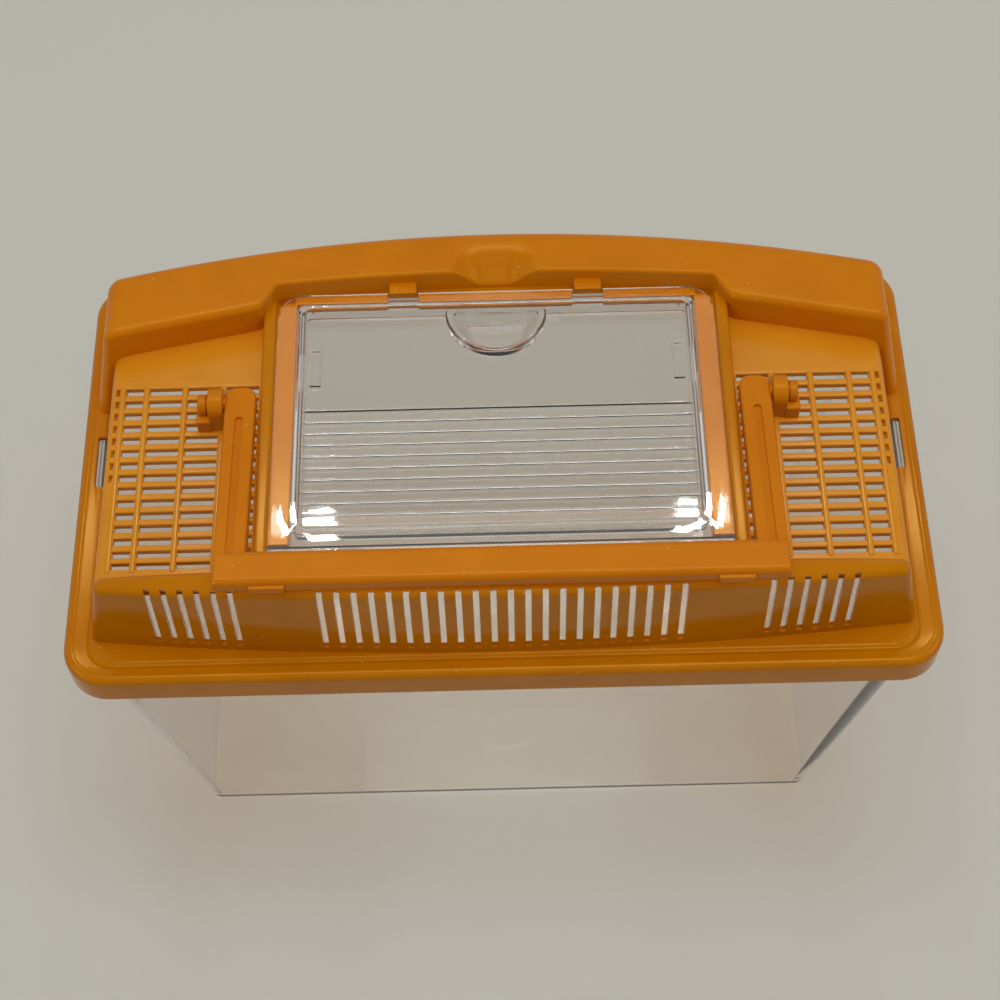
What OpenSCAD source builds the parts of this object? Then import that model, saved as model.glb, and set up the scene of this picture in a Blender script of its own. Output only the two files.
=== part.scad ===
// Small-animal keeper: a clear tapered tank under a push-on vented lid,
// with a clear feeding hatch and a folding carry handle.
// Millimetres, Z up, X to the right and Y to the back.
// The origin is the middle of the tank's underside.

/* [Tank] */
// Length of the tank's mouth over the outer wall faces
mouth_w = 235.2; // [200:0.4:280]
// Depth of the tank's mouth over the outer wall faces
mouth_d = 130.8; // [115:0.4:160]
// How far each end wall leans out between the base and the mouth
end_lean = 19.6; // [8:0.2:24]
// How far the front and back walls lean out between the base and the mouth
side_lean = 11.4; // [5:0.2:14]
// Height of the tank from its underside to the top of its rim
tank_h = 117.8; // [90:0.2:160]
// Wall thickness of the tank
tank_wall = 2; // [1.4:0.1:3]
// Thickness of the tank's floor
floor_t = 2.4; // [1.6:0.1:5]
// Rounding along the bottom edge of the tank
base_round = 3; // [1.5:0.5:5]
// Radius of the tank's upright corners at the mouth
mouth_corner_r = 12; // [9:0.5:18]
// Radius of the tank's upright corners at the base
base_corner_r = 6; // [5:0.5:9]
// How far the rim stands out from the tank's wall
rim_out = 0.6; // [0.4:0.1:1.2]
// Height of the rim
rim_h = 3; // [2:0.5:5]

/* [Lid flange] */
// Gap between the tank's rim and the flange that rests on it
seat_gap = 0.2; // [0.1:0.05:0.4]
// Gap between the tank's rim and the lid's skirt at the front and back
skirt_gap = 0.3; // [0.2:0.05:0.6]
// Room between the tank's rim and the skirt at each end, where the snap noses are
end_room = 2; // [1.4:0.1:3]
// Thickness of the skirt
skirt_t = 2.2; // [1.6:0.1:3]
// Height of the skirt with the flange
skirt_h = 10.5; // [8:0.5:16]
// Thickness of the flange
flange_t = 2; // [1.6:0.1:3]
// Radius of the flange's corners
flange_corner_r = 12; // [8:0.5:18]
// Distance of the shallow groove from the flange's front and back edges
groove_in_y = 4.5; // [3.5:0.1:6]
// Distance of the shallow groove from the flange's ends
groove_in_x = 6.6; // [5:0.1:7]
// Width of the groove
groove_w = 1; // [0.5:0.1:1.2]
// Depth of the groove
groove_depth = 0.5; // [0.3:0.1:1]

/* [Lid snaps] */
// Length of the opening over each snap nose
snap_slot_l = 17; // [12:0.5:24]
// Width of the opening over each snap nose
snap_slot_w = 3; // [2:0.1:3]
// Place of the opening's middle behind the middle of the lid
snap_slot_y = 3.5; // [-8:0.5:6]
// Distance from the lid's end to the outer side of the opening
snap_slot_in = 4.4; // [4:0.1:4.6]
// Height of a snap nose
snap_h = 3; // [2:0.5:5]
// How far a snap nose is shifted back from its opening
snap_shift = 2; // [0:0.5:4]

/* [Lid dome] */
// Wall thickness of the dome
wall = 2; // [1.6:0.1:2.4]
// Flange left between the dome's ends and the lid's edge, in front
end_ledge = 7.9; // [7.7:0.1:10]
// Flange left between the dome's front wall and the lid's edge, in the middle
front_ledge = 7.1; // [6.5:0.1:10]
// How far the front wall curves back from its middle to its ends
front_bow = 6; // [3:0.5:8]
// Lean of the front wall in degrees
front_lean = 4.5; // [2:0.5:6]
// Lean of the end walls in degrees
end_wall_lean = 11; // [6:0.5:13]
// Height of the grille panels above the flange
panel_h = 21; // [17:0.5:26]
// Height of the front band above the flange, in the middle
band_h = 29; // [27.4:0.2:36]
// Depth of the front band, from its back edge to the middle of the front wall
band_d = 10.4; // [9:0.1:12]
// How far the front band's top falls towards its ends
band_crown = 3; // [1:0.5:4]

/* [Lid ridge] */
// Height of the back ridge above the flange
ridge_h = 33; // [31:0.5:40]
// Flange left between the ridge's back wall and the lid's edge, in the middle
rear_ledge = 6.5; // [5.5:0.1:9]
// How far the ridge's back wall curves forward from its middle to its ends
rear_bow = 13; // [8:0.5:16]
// Lean of the ridge's back wall in degrees
rear_lean = 5; // [2:0.5:8]
// Flange left between the ridge's ends and the lid's edge
ridge_end_ledge = 3.6; // [2.8:0.1:5]
// Lean of the ridge's ends in degrees
ridge_end_lean = 12.5; // [8:0.5:15]
// Where the ridge's end walls start, behind the middle of the lid
ridge_end_y = 18; // [15:0.5:20]
// Radius of the ridge's ends in plan
ridge_end_r = 6; // [3:0.5:7]
// Place of the ridge's front face beside the hatch, behind the middle of the lid
ridge_front_y = 35.2; // [33:0.2:37]
// How far the ridge's front face comes forward towards its ends
ridge_sweep = 11.6; // [8:0.2:12]
// Place of the ridge's front face behind the middle of the hatch
bay_y = 46.4; // [45.5:0.1:47]
// How far that face comes forward towards the hatch's corners
bay_bow = 3.8; // [2:0.1:4]
// Radius of the finger scoop in the ridge
scoop_r = 20; // [15:0.5:26]
// Depth of the finger scoop at the ridge's front face
scoop_depth = 5.4; // [3:0.2:6]
// Distance over which the scoop rises to the ridge's top
scoop_run = 12; // [9:0.5:13]

/* [Grilles] */
// Rows of openings in each grille
grille_rows = 15; // [10:1:15]
// Distance from one row to the next
row_pitch = 4.1; // [3.8:0.05:4.1]
// Width of an opening from front to back
row_gap = 2.2; // [1.4:0.1:2.6]
// Place of the hindmost row, behind the middle of the lid
first_row_y = 13.3; // [12.5:0.1:14]
// Thickness of the grille panels
panel_t = 1.8; // [1.4:0.1:2.4]
// Width of the plain strip between the frame and the grille
grille_margin = 1.3; // [0.8:0.1:1.4]
// Inner columns of openings in each grille
inner_columns = 3; // [2:1:4]
// Width of the ribs between the columns of openings
rib_w = 1.9; // [1.2:0.1:2.4]
// Width of the plain strip between the grille and the end wall
end_strip = 1; // [0.6:0.1:2]
// Width of the grille's narrow outer column
outer_column_w = 4.9; // [3:0.1:5]
// Width of the short openings at the grille's outer edge
edge_column_w = 1.3; // [0.8:0.1:1.4]
// Ventilation slots in the middle of the front wall
slots_middle = 22; // [12:1:22]
// Distance between the middle slots
slot_pitch = 4.64; // [4:0.02:4.7]
// Ventilation slots in each end group of the front wall
slots_end = 6; // [3:1:6]
// Distance between the end slots
end_slot_pitch = 4.5; // [4:0.05:4.6]
// Place of the first end slot from the middle of the lid
end_slot_x = 72.5; // [72:0.1:76]
// Width of a ventilation slot
slot_w = 1.6; // [1:0.1:2]
// Height of the slots' lower ends above the flange
slot_sill = 2.2; // [1.5:0.1:5]
// How far a slot runs on over the top edge of the wall
slot_over = 1.4; // [0.8:0.1:1.6]

/* [Hatch] */
// Length of the hatch
hatch_w = 126; // [116:0.5:127]
// Distance from the hatch's hinge line to its back edge
hatch_d = 85.3; // [80:0.1:85.5]
// Place of the hinge line in front of the middle of the lid
hinge_y = 43.5; // [43:0.1:43.8]
// Thickness of the hatch's rim
hatch_t = 1.8; // [1.4:0.1:2]
// Radius of the hatch's back corners
hatch_corner_r = 8; // [4:0.5:10]
// Height of the frame around the hatch above the grille panels
frame_rise = 6.4; // [6:0.1:7]
// Width of the frame beside the hatch
frame_w = 3.7; // [3.2:0.1:4]
// Width of the ledge under the sides of the hatch
hatch_ledge = 5.8; // [4:0.1:7]
// Width of the ledge under the hatch's back edge
back_ledge = 2.6; // [2.4:0.1:3]
// How far the hatch lies below the top of its frame
hatch_sink = 0.2; // [0:0.1:0.4]
// Gap all round the hatch
hatch_gap = 0.3; // [0.2:0.05:0.5]
// Gap between the hatch's rim and its ledge
hatch_seat_gap = 0.2; // [0.1:0.05:0.4]
// Depth of the hatch's tray below its rim
tray_depth = 5; // [4:0.1:5.4]
// Thickness of the tray's walls and floor
tray_t = 1.6; // [1.2:0.1:1.8]
// Gap between the tray's sides and the ledge
tray_side_gap = 1.8; // [0.5:0.1:2.5]
// Gap between the tray's back and the ledge, where the tray swings past
tray_back_gap = 0.8; // [0.7:0.1:1.2]
// Distance from the hinge line to the tray's front
tray_in = 6; // [5:0.1:8]
// Radius of the hinge barrel
barrel_r = 1.9; // [1.8:0.05:2]
// Room in front of and behind the hinge barrel
barrel_room = 0.9; // [0.6:0.1:1.2]
// Radius of the hinge pins
pin_r = 1.1; // [0.8:0.05:1.2]
// Length of each hinge pin beyond the hatch's side
pin_l = 2.4; // [1.8:0.1:2.6]
// Clearance around the hinge and handle pins
pin_gap = 0.06; // [0.03:0.01:0.1]
// Cross ribs on the front of the tray
tray_ribs = 11; // [6:1:11]
// Distance between the cross ribs
tray_rib_pitch = 3.8; // [3:0.1:3.9]
// Width and height of a cross rib
tray_rib = 0.8; // [0.5:0.1:1.2]
// Distance from the tray's front wall to the first cross rib
first_rib = 2; // [1:0.1:3]
// Width of the small raised pads on the tray
pad_w = 4; // [3:0.1:5]
// Length of the pads
pad_l = 12.4; // [8:0.1:14]
// Place of the pads behind the middle of the lid
pad_y = 19; // [14:0.5:24]
// Radius of the half-round finger cup
cup_r = 14; // [10:0.5:16]
// Depth of the finger cup below the tray's floor
cup_depth = 3.4; // [2:0.2:6]
// Height of the cup's rim above the tray's floor
cup_rim = 1; // [0.5:0.1:2]
// Width of a snap hook over the hatch's back edge
hook_w = 7; // [5:0.5:9]
// Place of the snap hooks to each side of the middle
hook_x = 26.8; // [22:0.2:34]
// How far the snap hooks reach into the notches of the hatch
hook_reach = 1.7; // [1:0.1:2]
// Thickness of a snap hook
hook_h = 1.5; // [1:0.1:2]
// Gap between a snap hook and the hatch
hook_gap = 0.4; // [0.3:0.05:0.6]
// Margin of the window under a snap hook
hook_margin = 1; // [0.5:0.1:1.5]

/* [Handle] */
// Gap between the hatch's frame and an arm beside it
arm_gap = 0.8; // [0.5:0.1:1]
// Width of an arm
arm_w = 8.5; // [7:0.1:8.6]
// Thickness of an arm
arm_t = 5; // [4:0.1:5.4]
// Radius of the round end of an arm
arm_end_r = 4.2; // [3.6:0.1:4.4]
// Place of the handle's pivot behind the middle of the lid
pivot_y = 4; // [3:0.2:4.4]
// Height of the pivot above the grille panels
pivot_rise = 6.5; // [6.5:0.1:7.5]
// Distance from the pivot to the outer edge of the grip
handle_reach = 61.4; // [59:0.2:61.6]
// Width of the grip from front to back
grip_d = 10.4; // [8:0.2:10.6]
// Thickness of the grip
grip_t = 5.6; // [4.5:0.1:7]
// Gap between the folded grip and the front band
grip_gap = 0.3; // [0.2:0.05:0.6]
// Radius of the pivot pegs
peg_r = 2.25; // [1.6:0.05:2.5]
// Radius of the heads on the pivot pegs
peg_head_r = 2.9; // [2.8:0.05:3.2]
// Length of a peg's head
peg_head_l = 2.4; // [1.6:0.1:3]
// Thickness of the ears that carry the handle
ear_t = 4.3; // [3:0.1:4.6]
// Radius of the ears
ear_r = 4.6; // [4.2:0.1:5]
// Gap between an arm and its ear
ear_gap = 0.6; // [0.4:0.1:1]
// Width of the foot under each ear
foot_w = 8.2; // [7:0.1:9]
// Height of the foot under each ear
foot_h = 2; // [1:0.1:2.4]
// Length of the foot under each ear
foot_l = 10; // [9.4:0.1:12]
// Width of the groove along the top of each arm
arm_groove_w = 2.3; // [1.5:0.1:3]
// Depth of that groove
arm_groove_depth = 0.8; // [0.4:0.1:1.2]
// Width of the finger tabs on the grip's front edge
tab_w = 9.3; // [6:0.1:12]
// Place of the finger tabs to each side of the middle
tab_x = 62; // [40:0.5:66]
// How far the finger tabs stand out
tab_out = 1; // [0.5:0.1:1.4]

/* [Hidden] */

// Overshoot that keeps cutting shapes clear of the faces they pass
cut = 1;
// Facets of the small round shapes and of the very large ones
fine = 48;
vast = 720;
// Facets of the children of a hull
hull_fn = 32;

// Lid flange
rim_w = mouth_w + 2 * rim_out;
rim_d = mouth_d + 2 * rim_out;
lid_w = rim_w + 2 * (end_room + skirt_t);
lid_d = rim_d + 2 * (skirt_gap + skirt_t);
flange_z = tank_h + seat_gap;
flange_top = flange_z + flange_t;
skirt_z = flange_top - skirt_h;

// Lid dome
dome_half = lid_w / 2 - end_ledge;
front_y = -lid_d / 2 + front_ledge;
front_r = (dome_half * dome_half + front_bow * front_bow) / (2 * front_bow);
panel_z = flange_top + panel_h;
frame_z = panel_z + frame_rise;
band_z = flange_top + band_h;
band_back = front_y + band_h * tan(front_lean) + band_d;
crown_half = 105;
crown_r = (crown_half * crown_half + band_crown * band_crown) / (2 * band_crown);

// Lid ridge
ridge_z = flange_top + ridge_h;
ridge_half = lid_w / 2 - ridge_end_ledge;
rear_y = lid_d / 2 - rear_ledge;
rear_half = 109;
rear_r = (rear_half * rear_half + rear_bow * rear_bow) / (2 * rear_bow);

// Hatch, with its hinge line at the middle of the barrel
hatch_top = frame_z - hatch_sink;
hatch_z = hatch_top - hatch_t;
hinge_z = hatch_top - barrel_r;
seat_z = hatch_z - hatch_seat_gap;
hatch_back = hatch_d - hinge_y;
bay_half = hatch_w / 2 + hatch_gap;
frame_half = bay_half + frame_w;
opening_half = bay_half - hatch_ledge;
opening_back = hatch_back - back_ledge;
opening_front = -hinge_y - barrel_r - barrel_room;
bay_round_r = bay_half * bay_half / (2 * bay_bow) + bay_bow / 2;
tray_half = opening_half - tray_side_gap;
tray_back = opening_back - tray_back_gap;
tray_front = -hinge_y + tray_in;
tray_floor = hatch_z - tray_depth + tray_t;
cup_floor = tray_floor - cup_depth;
hook_z = hatch_top + hook_gap;

// Grille columns, which share the room between the frame and the end wall
grille_x = frame_half + grille_margin;
grille_end = dome_half - panel_h * tan(end_wall_lean) - end_strip;
edge_x = grille_end - edge_column_w;
outer_x = edge_x - rib_w - outer_column_w;
column_step = (outer_x - grille_x) / inner_columns;
column_w = column_step - rib_w;

// Handle, with its pivot line through the ears
pivot_z = panel_z + pivot_rise;
arm_x = frame_half + arm_gap;
handle_half = arm_x + arm_w;
ear_x = handle_half + ear_gap;
grip_z = band_z + grip_gap;
grip_front = pivot_y - handle_reach;
grip_back = grip_front + grip_d;
arm_rise = grip_z + grip_t / 2 - pivot_z;
arm_slope = atan(arm_rise / (pivot_y - grip_back));

// Box given by its lowest and highest corners
module block(lo, hi) {
    translate(lo)
        cube(hi - lo);
}

// Flat plate with round corners, standing on z = 0
module round_plate(w, d, r, h) {
    translate([-w / 2 + r, -d / 2, 0])
        cube([w - 2 * r, d, h]);
    translate([-w / 2, -d / 2 + r, 0])
        cube([w, d - 2 * r, h]);
    for (x = [-1, 1], y = [-1, 1])
        translate([x * (w / 2 - r), y * (d / 2 - r), 0])
            cylinder(h = h, r = r, $fn = fine);
}

// Thin slice of the tank's outline at height z, used by its hull
module tank_slice(w, d, r, z) {
    t = 0.01;
    translate([0, 0, z])
        linear_extrude(t)
            for (x = [-1, 1], y = [-1, 1])
                translate([x * (w / 2 - r), y * (d / 2 - r)])
                    circle(r = r, $fn = hull_fn);
}

// Tapered body of the tank from height z0 up, shrunk by inset on every side
module tank_body(inset, z0, z1) {
    base_w = mouth_w - 2 * end_lean;
    base_d = mouth_d - 2 * side_lean;
    curl = 0.3 * base_round;
    hull() {
        tank_slice(base_w - 2 * (inset + base_round * 0.8),
            base_d - 2 * (inset + base_round * 0.8), base_corner_r - inset, z0);
        tank_slice(base_w - 2 * (inset + curl), base_d - 2 * (inset + curl),
            base_corner_r - inset, z0 + curl);
        tank_slice(base_w - 2 * inset, base_d - 2 * inset,
            base_corner_r - inset, z0 + base_round);
        tank_slice(mouth_w - 2 * inset, mouth_d - 2 * inset,
            mouth_corner_r - inset, z1);
    }
}

// Clear tank: tapered walls, a flat floor and a rim for the lid
module tank() {
    color([0.86, 0.9, 0.92, 0.4])
        difference() {
            union() {
                tank_body(0, 0, tank_h - 0.01);
                translate([0, 0, tank_h - rim_h])
                    round_plate(rim_w, rim_d, mouth_corner_r + rim_out, rim_h);
            }
            tank_body(tank_wall, floor_t, tank_h + cut);
        }
}

// Space between the two leaning end walls, as wide as half at the flange's top
module between_ends(half, lean, z1) {
    z0 = skirt_z - cut;
    low = half + (flange_top - z0) * tan(lean);
    high = half - (z1 - flange_top) * tan(lean);
    rotate([90, 0, 0])
        linear_extrude(2 * lid_d, center = true)
            polygon([[-low, z0], [low, z0], [high, z1], [-high, z1]]);
}

// Space behind the bowed, leaning front wall
module behind_front(inset, z1) {
    z0 = skirt_z - cut;
    grow = (flange_top - z0) * tan(front_lean);
    shrink = (z1 - flange_top) * tan(front_lean);
    translate([0, front_y + front_r, z0])
        cylinder(h = z1 - z0, r1 = front_r - inset + grow,
            r2 = front_r - inset - shrink, $fn = vast);
}

// Space in front of the bowed, leaning back wall
module before_rear(inset, z1) {
    z0 = skirt_z - cut;
    grow = (flange_top - z0) * tan(rear_lean);
    shrink = (z1 - flange_top) * tan(rear_lean);
    translate([0, rear_y - rear_r, z0])
        cylinder(h = z1 - z0, r1 = rear_r - inset + grow,
            r2 = rear_r - inset - shrink, $fn = vast);
}

// Low part of the dome, under the grille panels
module low_dome(inset, z0, z1) {
    intersection() {
        between_ends(dome_half - inset, end_wall_lean, z1);
        behind_front(inset, z1);
        before_rear(inset, z1);
        block([-lid_w, -lid_d, z0], [lid_w, lid_d, z1]);
    }
}

// Back part of the dome, which stands out further at its ends
module back_dome(inset, z0, z1) {
    depth = lid_d;
    intersection() {
        between_ends(ridge_half - inset, ridge_end_lean, z1);
        before_rear(inset, z1);
        translate([0, ridge_end_y + inset + depth / 2, z0])
            round_plate(2 * (ridge_half - inset), depth, ridge_end_r - inset, z1 - z0);
    }
}

// Plan of the ridge: behind its swept front face and round the hatch's bay
module ridge_plan(inset, z0, z1) {
    far = ridge_half + cut;
    mid = bay_half;
    front = ridge_front_y + inset;
    side = front - ridge_sweep * (far - mid) / (ridge_half - mid);
    difference() {
        translate([0, 0, z0])
            linear_extrude(z1 - z0)
                polygon([[-far, side], [-mid, front], [mid, front],
                    [far, side], [far, lid_d], [-far, lid_d]]);
        intersection() {
            block([-bay_half - inset, 0, z0 - cut], [bay_half + inset, lid_d, z1 + cut]);
            translate([0, bay_y + inset - bay_round_r, z0 - cut])
                cylinder(h = z1 - z0 + 2 * cut, r = bay_round_r, $fn = vast);
        }
    }
}

// Round trough of the finger scoop, grown by more
module scoop(more) {
    slope = atan(scoop_depth / scoop_run);
    axis_z = ridge_z - scoop_depth + scoop_r / cos(slope);
    translate([0, bay_y, axis_z])
        rotate([slope - 90, 0, 0])
            cylinder(h = 6 * scoop_run, r = scoop_r + more, center = true, $fn = 2 * fine);
}

// Back ridge between heights z0 and z1, shrunk by inset
module ridge(inset, z0, z1) {
    intersection() {
        back_dome(inset, z0, z1);
        ridge_plan(inset, z0, z1);
    }
}

// Front band above the grille panels, with its crowned top
module band(inset, z0) {
    intersection() {
        between_ends(dome_half - inset, end_wall_lean, band_z);
        behind_front(inset, band_z);
        block([-lid_w, -lid_d, z0], [lid_w, band_back - inset, band_z]);
        translate([0, 0, band_z - inset - crown_r])
            rotate([90, 0, 0])
                cylinder(h = 2 * lid_d, r = crown_r, center = true, $fn = vast);
    }
}

// Frame around the hatch, up to the ridge
module hatch_frame() {
    block([-frame_half, band_back - wall, panel_z - panel_t], [frame_half, bay_y, frame_z]);
}

// Hollow of the lid, open to the tank below
module lid_hollow() {
    low_dome(wall, skirt_z, panel_z - panel_t);
    back_dome(wall, skirt_z, panel_z - panel_t);
    difference() {
        ridge(wall, skirt_z, ridge_z - wall);
        scoop(wall);
    }
    band(wall, panel_z - panel_t - cut);
    block([-frame_half + wall, band_back - wall - cut, panel_z - panel_t - cut],
        [frame_half - wall, bay_y + wall, seat_z - wall]);
}

// Bay and opening for the hatch, with the clearance of its barrel and pins
module hatch_bay() {
    intersection() {
        block([-bay_half, opening_front, seat_z], [bay_half, bay_y + cut, ridge_z + cut]);
        translate([0, bay_y - bay_round_r, seat_z])
            cylinder(h = ridge_h, r = bay_round_r, $fn = vast);
    }
    block([-opening_half, opening_front, skirt_z], [opening_half, opening_back, frame_z]);
    block([-bay_half, opening_front, skirt_z],
        [bay_half, -hinge_y + barrel_r + barrel_room, frame_z]);
    pin_hole = pin_l + hatch_gap;
    translate([0, -hinge_y, hinge_z])
        rotate([0, 90, 0])
            cylinder(h = hatch_w + 2 * pin_hole, r = pin_r + pin_gap, center = true, $fn = fine);
}

// Openings of one grille, between the frame and the end wall
module grille() {
    for (row = [0 : grille_rows - 1]) {
        y = first_row_y - row * row_pitch;
        z = panel_z - panel_t - cut;
        for (column = [0 : inner_columns - 1])
            translate([grille_x + column * column_step, y - row_gap / 2, z])
                cube([column_w, row_gap, panel_t + 2 * cut]);
        translate([outer_x, y - row_gap / 2, z])
            cube([outer_column_w, row_gap, panel_t + 2 * cut]);
        if (row < grille_rows / 2)
            translate([edge_x, y - row_gap / 2, z])
                cube([edge_column_w, row_gap, panel_t + 2 * cut]);
    }
}

// One slot in the front wall at place x, which wraps over the wall's top edge
module front_slot(x) {
    back = front_y + band_h * tan(front_lean) + front_bow * x * x / (dome_half * dome_half);
    block([x - slot_w / 2, -lid_d / 2, flange_top + slot_sill],
        [x + slot_w / 2, back + slot_over, band_z + cut]);
}

// All the ventilation slots of the front wall
module front_slots() {
    for (i = [0 : slots_middle - 1])
        front_slot((i - (slots_middle - 1) / 2) * slot_pitch);
    for (side = [-1, 1], i = [0 : slots_end - 1])
        front_slot(side * (end_slot_x + i * end_slot_pitch));
}

// Ear and foot that carry one end of the handle, on the right side
module ear() {
    translate([ear_x, pivot_y, pivot_z])
        rotate([0, 90, 0])
            cylinder(h = ear_t, r = ear_r, $fn = fine);
    block([ear_x, pivot_y - ear_r, panel_z - panel_t], [ear_x + ear_t, pivot_y + ear_r, pivot_z]);
    block([ear_x, pivot_y - foot_l / 2, panel_z - panel_t],
        [ear_x + foot_w, pivot_y + foot_l / 2, panel_z + foot_h]);
}

// Snap hook over the hatch's back edge, rooted in the ridge
module snap_hook(x) {
    block([x - hook_w / 2, hatch_back - hook_reach, hook_z],
        [x + hook_w / 2, bay_y + wall / 2, hook_z + hook_h]);
}

// Opening in the lid under one snap hook
module hook_window(x) {
    half = hook_w / 2 + hook_margin;
    back = bay_y - bay_bow * x * x / (bay_half * bay_half);
    block([x - half, opening_back - cut, seat_z - wall - cut],
        [x + half, back - hook_margin / 2, seat_z + cut]);
}

// Snap nose inside the skirt at the right end
module snap_nose() {
    inner = rim_w / 2 + skirt_gap;
    y0 = snap_slot_y - snap_slot_l / 2 + snap_shift;
    block([inner, y0, skirt_z], [lid_w / 2 - skirt_t / 2, y0 + snap_slot_l, skirt_z + snap_h]);
}

// Lid: skirt, flange, vented dome with the hatch's bay, ridge and handle ears
module lid() {
    color([0.74, 0.45, 0.04])
        union() {
            difference() {
                union() {
                    translate([0, 0, skirt_z])
                        round_plate(lid_w, lid_d, flange_corner_r, skirt_h);
                    low_dome(0, flange_z, panel_z);
                    back_dome(0, flange_z, panel_z);
                    difference() {
                        ridge(0, flange_z, ridge_z);
                        scoop(0);
                    }
                    band(0, flange_z);
                    hatch_frame();
                }
                translate([0, 0, skirt_z - cut])
                    round_plate(lid_w - 2 * skirt_t, lid_d - 2 * skirt_t,
                        flange_corner_r - skirt_t, flange_z - skirt_z + cut);
                lid_hollow();
                hatch_bay();
                front_slots();
                grille();
                mirror([1, 0, 0])
                    grille();
                flange_groove();
                for (side = [-1, 1])
                    hook_window(side * hook_x);
                for (side = [-1, 1])
                    translate([side * (lid_w / 2 - snap_slot_in - snap_slot_w / 2),
                        snap_slot_y, flange_top])
                        cube([snap_slot_w, snap_slot_l, 3 * flange_t], center = true);
            }
            for (side = [-1, 1])
                snap_hook(side * hook_x);
            handle_ears();
            snap_nose();
            mirror([1, 0, 0])
                snap_nose();
        }
}

// Shallow groove that runs round the top of the flange
module flange_groove() {
    w = lid_w - 2 * groove_in_x;
    d = lid_d - 2 * groove_in_y;
    r = flange_corner_r - groove_in_y;
    translate([0, 0, flange_top - groove_depth])
        difference() {
            round_plate(w, d, r, groove_depth + cut);
            translate([0, 0, -cut])
                round_plate(w - 2 * groove_w, d - 2 * groove_w, r - groove_w,
                    groove_depth + 3 * cut);
        }
}

// Both ears, bored for the handle's pegs
module handle_ears() {
    difference() {
        union() {
            ear();
            mirror([1, 0, 0])
                ear();
        }
        translate([0, pivot_y, pivot_z])
            rotate([0, 90, 0])
                cylinder(h = 2 * lid_w, r = peg_r + pin_gap, center = true, $fn = fine);
    }
}

// Outline of the hatch's rim in plan
module hatch_outline(z0, z1) {
    r = hatch_corner_r;
    half = hatch_w / 2;
    block([-half, -hinge_y, z0], [half, hatch_back - r, z1]);
    block([-half + r, -hinge_y, z0], [half - r, hatch_back, z1]);
    for (side = [-1, 1])
        translate([side * (half - r), hatch_back - r, z0])
            cylinder(h = z1 - z0, r = r, $fn = fine);
}

// Half-round finger cup of radius r, between heights z0 and z1
module cup_body(r, z0, z1) {
    intersection() {
        translate([0, tray_back - tray_t, z0])
            cylinder(h = z1 - z0, r = r, $fn = 2 * fine);
        block([-r, -lid_d, z0], [r, tray_back - tray_t + (r - cup_r), z1]);
    }
}

// Clear hatch: flat rim, sunk tray, finger cup, cross ribs and hinge pins
module feeding_hatch() {
    color([0.9, 0.86, 0.8, 0.45])
        difference() {
            union() {
                difference() {
                    union() {
                        hatch_outline(hatch_z, hatch_top);
                        block([-tray_half, tray_front, tray_floor - tray_t],
                            [tray_half, tray_back, hatch_z]);
                        cup_body(cup_r + tray_t, cup_floor - tray_t, tray_floor);
                    }
                    block([-tray_half + tray_t, tray_front + tray_t, tray_floor],
                        [tray_half - tray_t, tray_back - tray_t, hatch_top + cut]);
                }
                cup_body(cup_r + tray_t, tray_floor - tray_t, tray_floor + cup_rim);
                for (i = [0 : tray_ribs - 1])
                    translate([-tray_half + tray_t / 2,
                        tray_front + tray_t + first_rib + i * tray_rib_pitch,
                        tray_floor - tray_t / 2])
                        cube([2 * tray_half - tray_t, tray_rib, tray_t / 2 + tray_rib]);
                for (side = [-1, 1])
                    translate([side * (tray_half - tray_t - pad_w / 2), pad_y, tray_floor])
                        cube([pad_w, pad_l, tray_rib], center = true);
                translate([0, -hinge_y, hinge_z])
                    rotate([0, 90, 0])
                        cylinder(h = hatch_w, r = barrel_r, center = true, $fn = fine);
                translate([0, -hinge_y, hinge_z])
                    rotate([0, 90, 0])
                        cylinder(h = hatch_w + 2 * pin_l, r = pin_r, center = true, $fn = fine);
            }
            cup_body(cup_r, cup_floor, hatch_top + cut);
            for (side = [-1, 1])
                translate([side * hook_x - hook_w / 2 - hook_gap,
                    hatch_back - hook_reach - hook_gap, hatch_z - cut])
                    cube([hook_w + 2 * hook_gap, hook_reach + 2 * cut, hatch_t + 2 * cut]);
        }
}

// One arm of the handle on the right side, from its peg to the grip
module arm() {
    length = pivot_y - grip_front;
    translate([arm_x, pivot_y, pivot_z])
        rotate([0, 90, 0])
            cylinder(h = arm_w, r = arm_end_r, $fn = fine);
    difference() {
        translate([arm_x, 0, 0])
            rotate([90, 0, 90])
                linear_extrude(arm_w)
                    polygon([[pivot_y, pivot_z - arm_t / 2], [pivot_y, pivot_z + arm_t / 2],
                        [grip_back, grip_z + grip_t], [grip_back - cut, grip_z + grip_t],
                        [grip_back - cut, grip_z], [grip_back, grip_z]]);
        translate([arm_x + arm_w / 2, pivot_y, pivot_z])
            rotate([-arm_slope, 0, 0])
                translate([-arm_groove_w / 2, -length + grip_d + 6,
                    arm_t / 2 - arm_groove_depth])
                    cube([arm_groove_w, length - grip_d - 14, arm_t]);
    }
    translate([arm_x + arm_w - cut, pivot_y, pivot_z])
        rotate([0, 90, 0])
            cylinder(h = ear_gap + ear_t + ear_gap + cut, r = peg_r, $fn = fine);
    translate([ear_x + ear_t + ear_gap, pivot_y, pivot_z])
        rotate([0, 90, 0])
            cylinder(h = peg_head_l, r = peg_head_r, $fn = fine);
}

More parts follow.
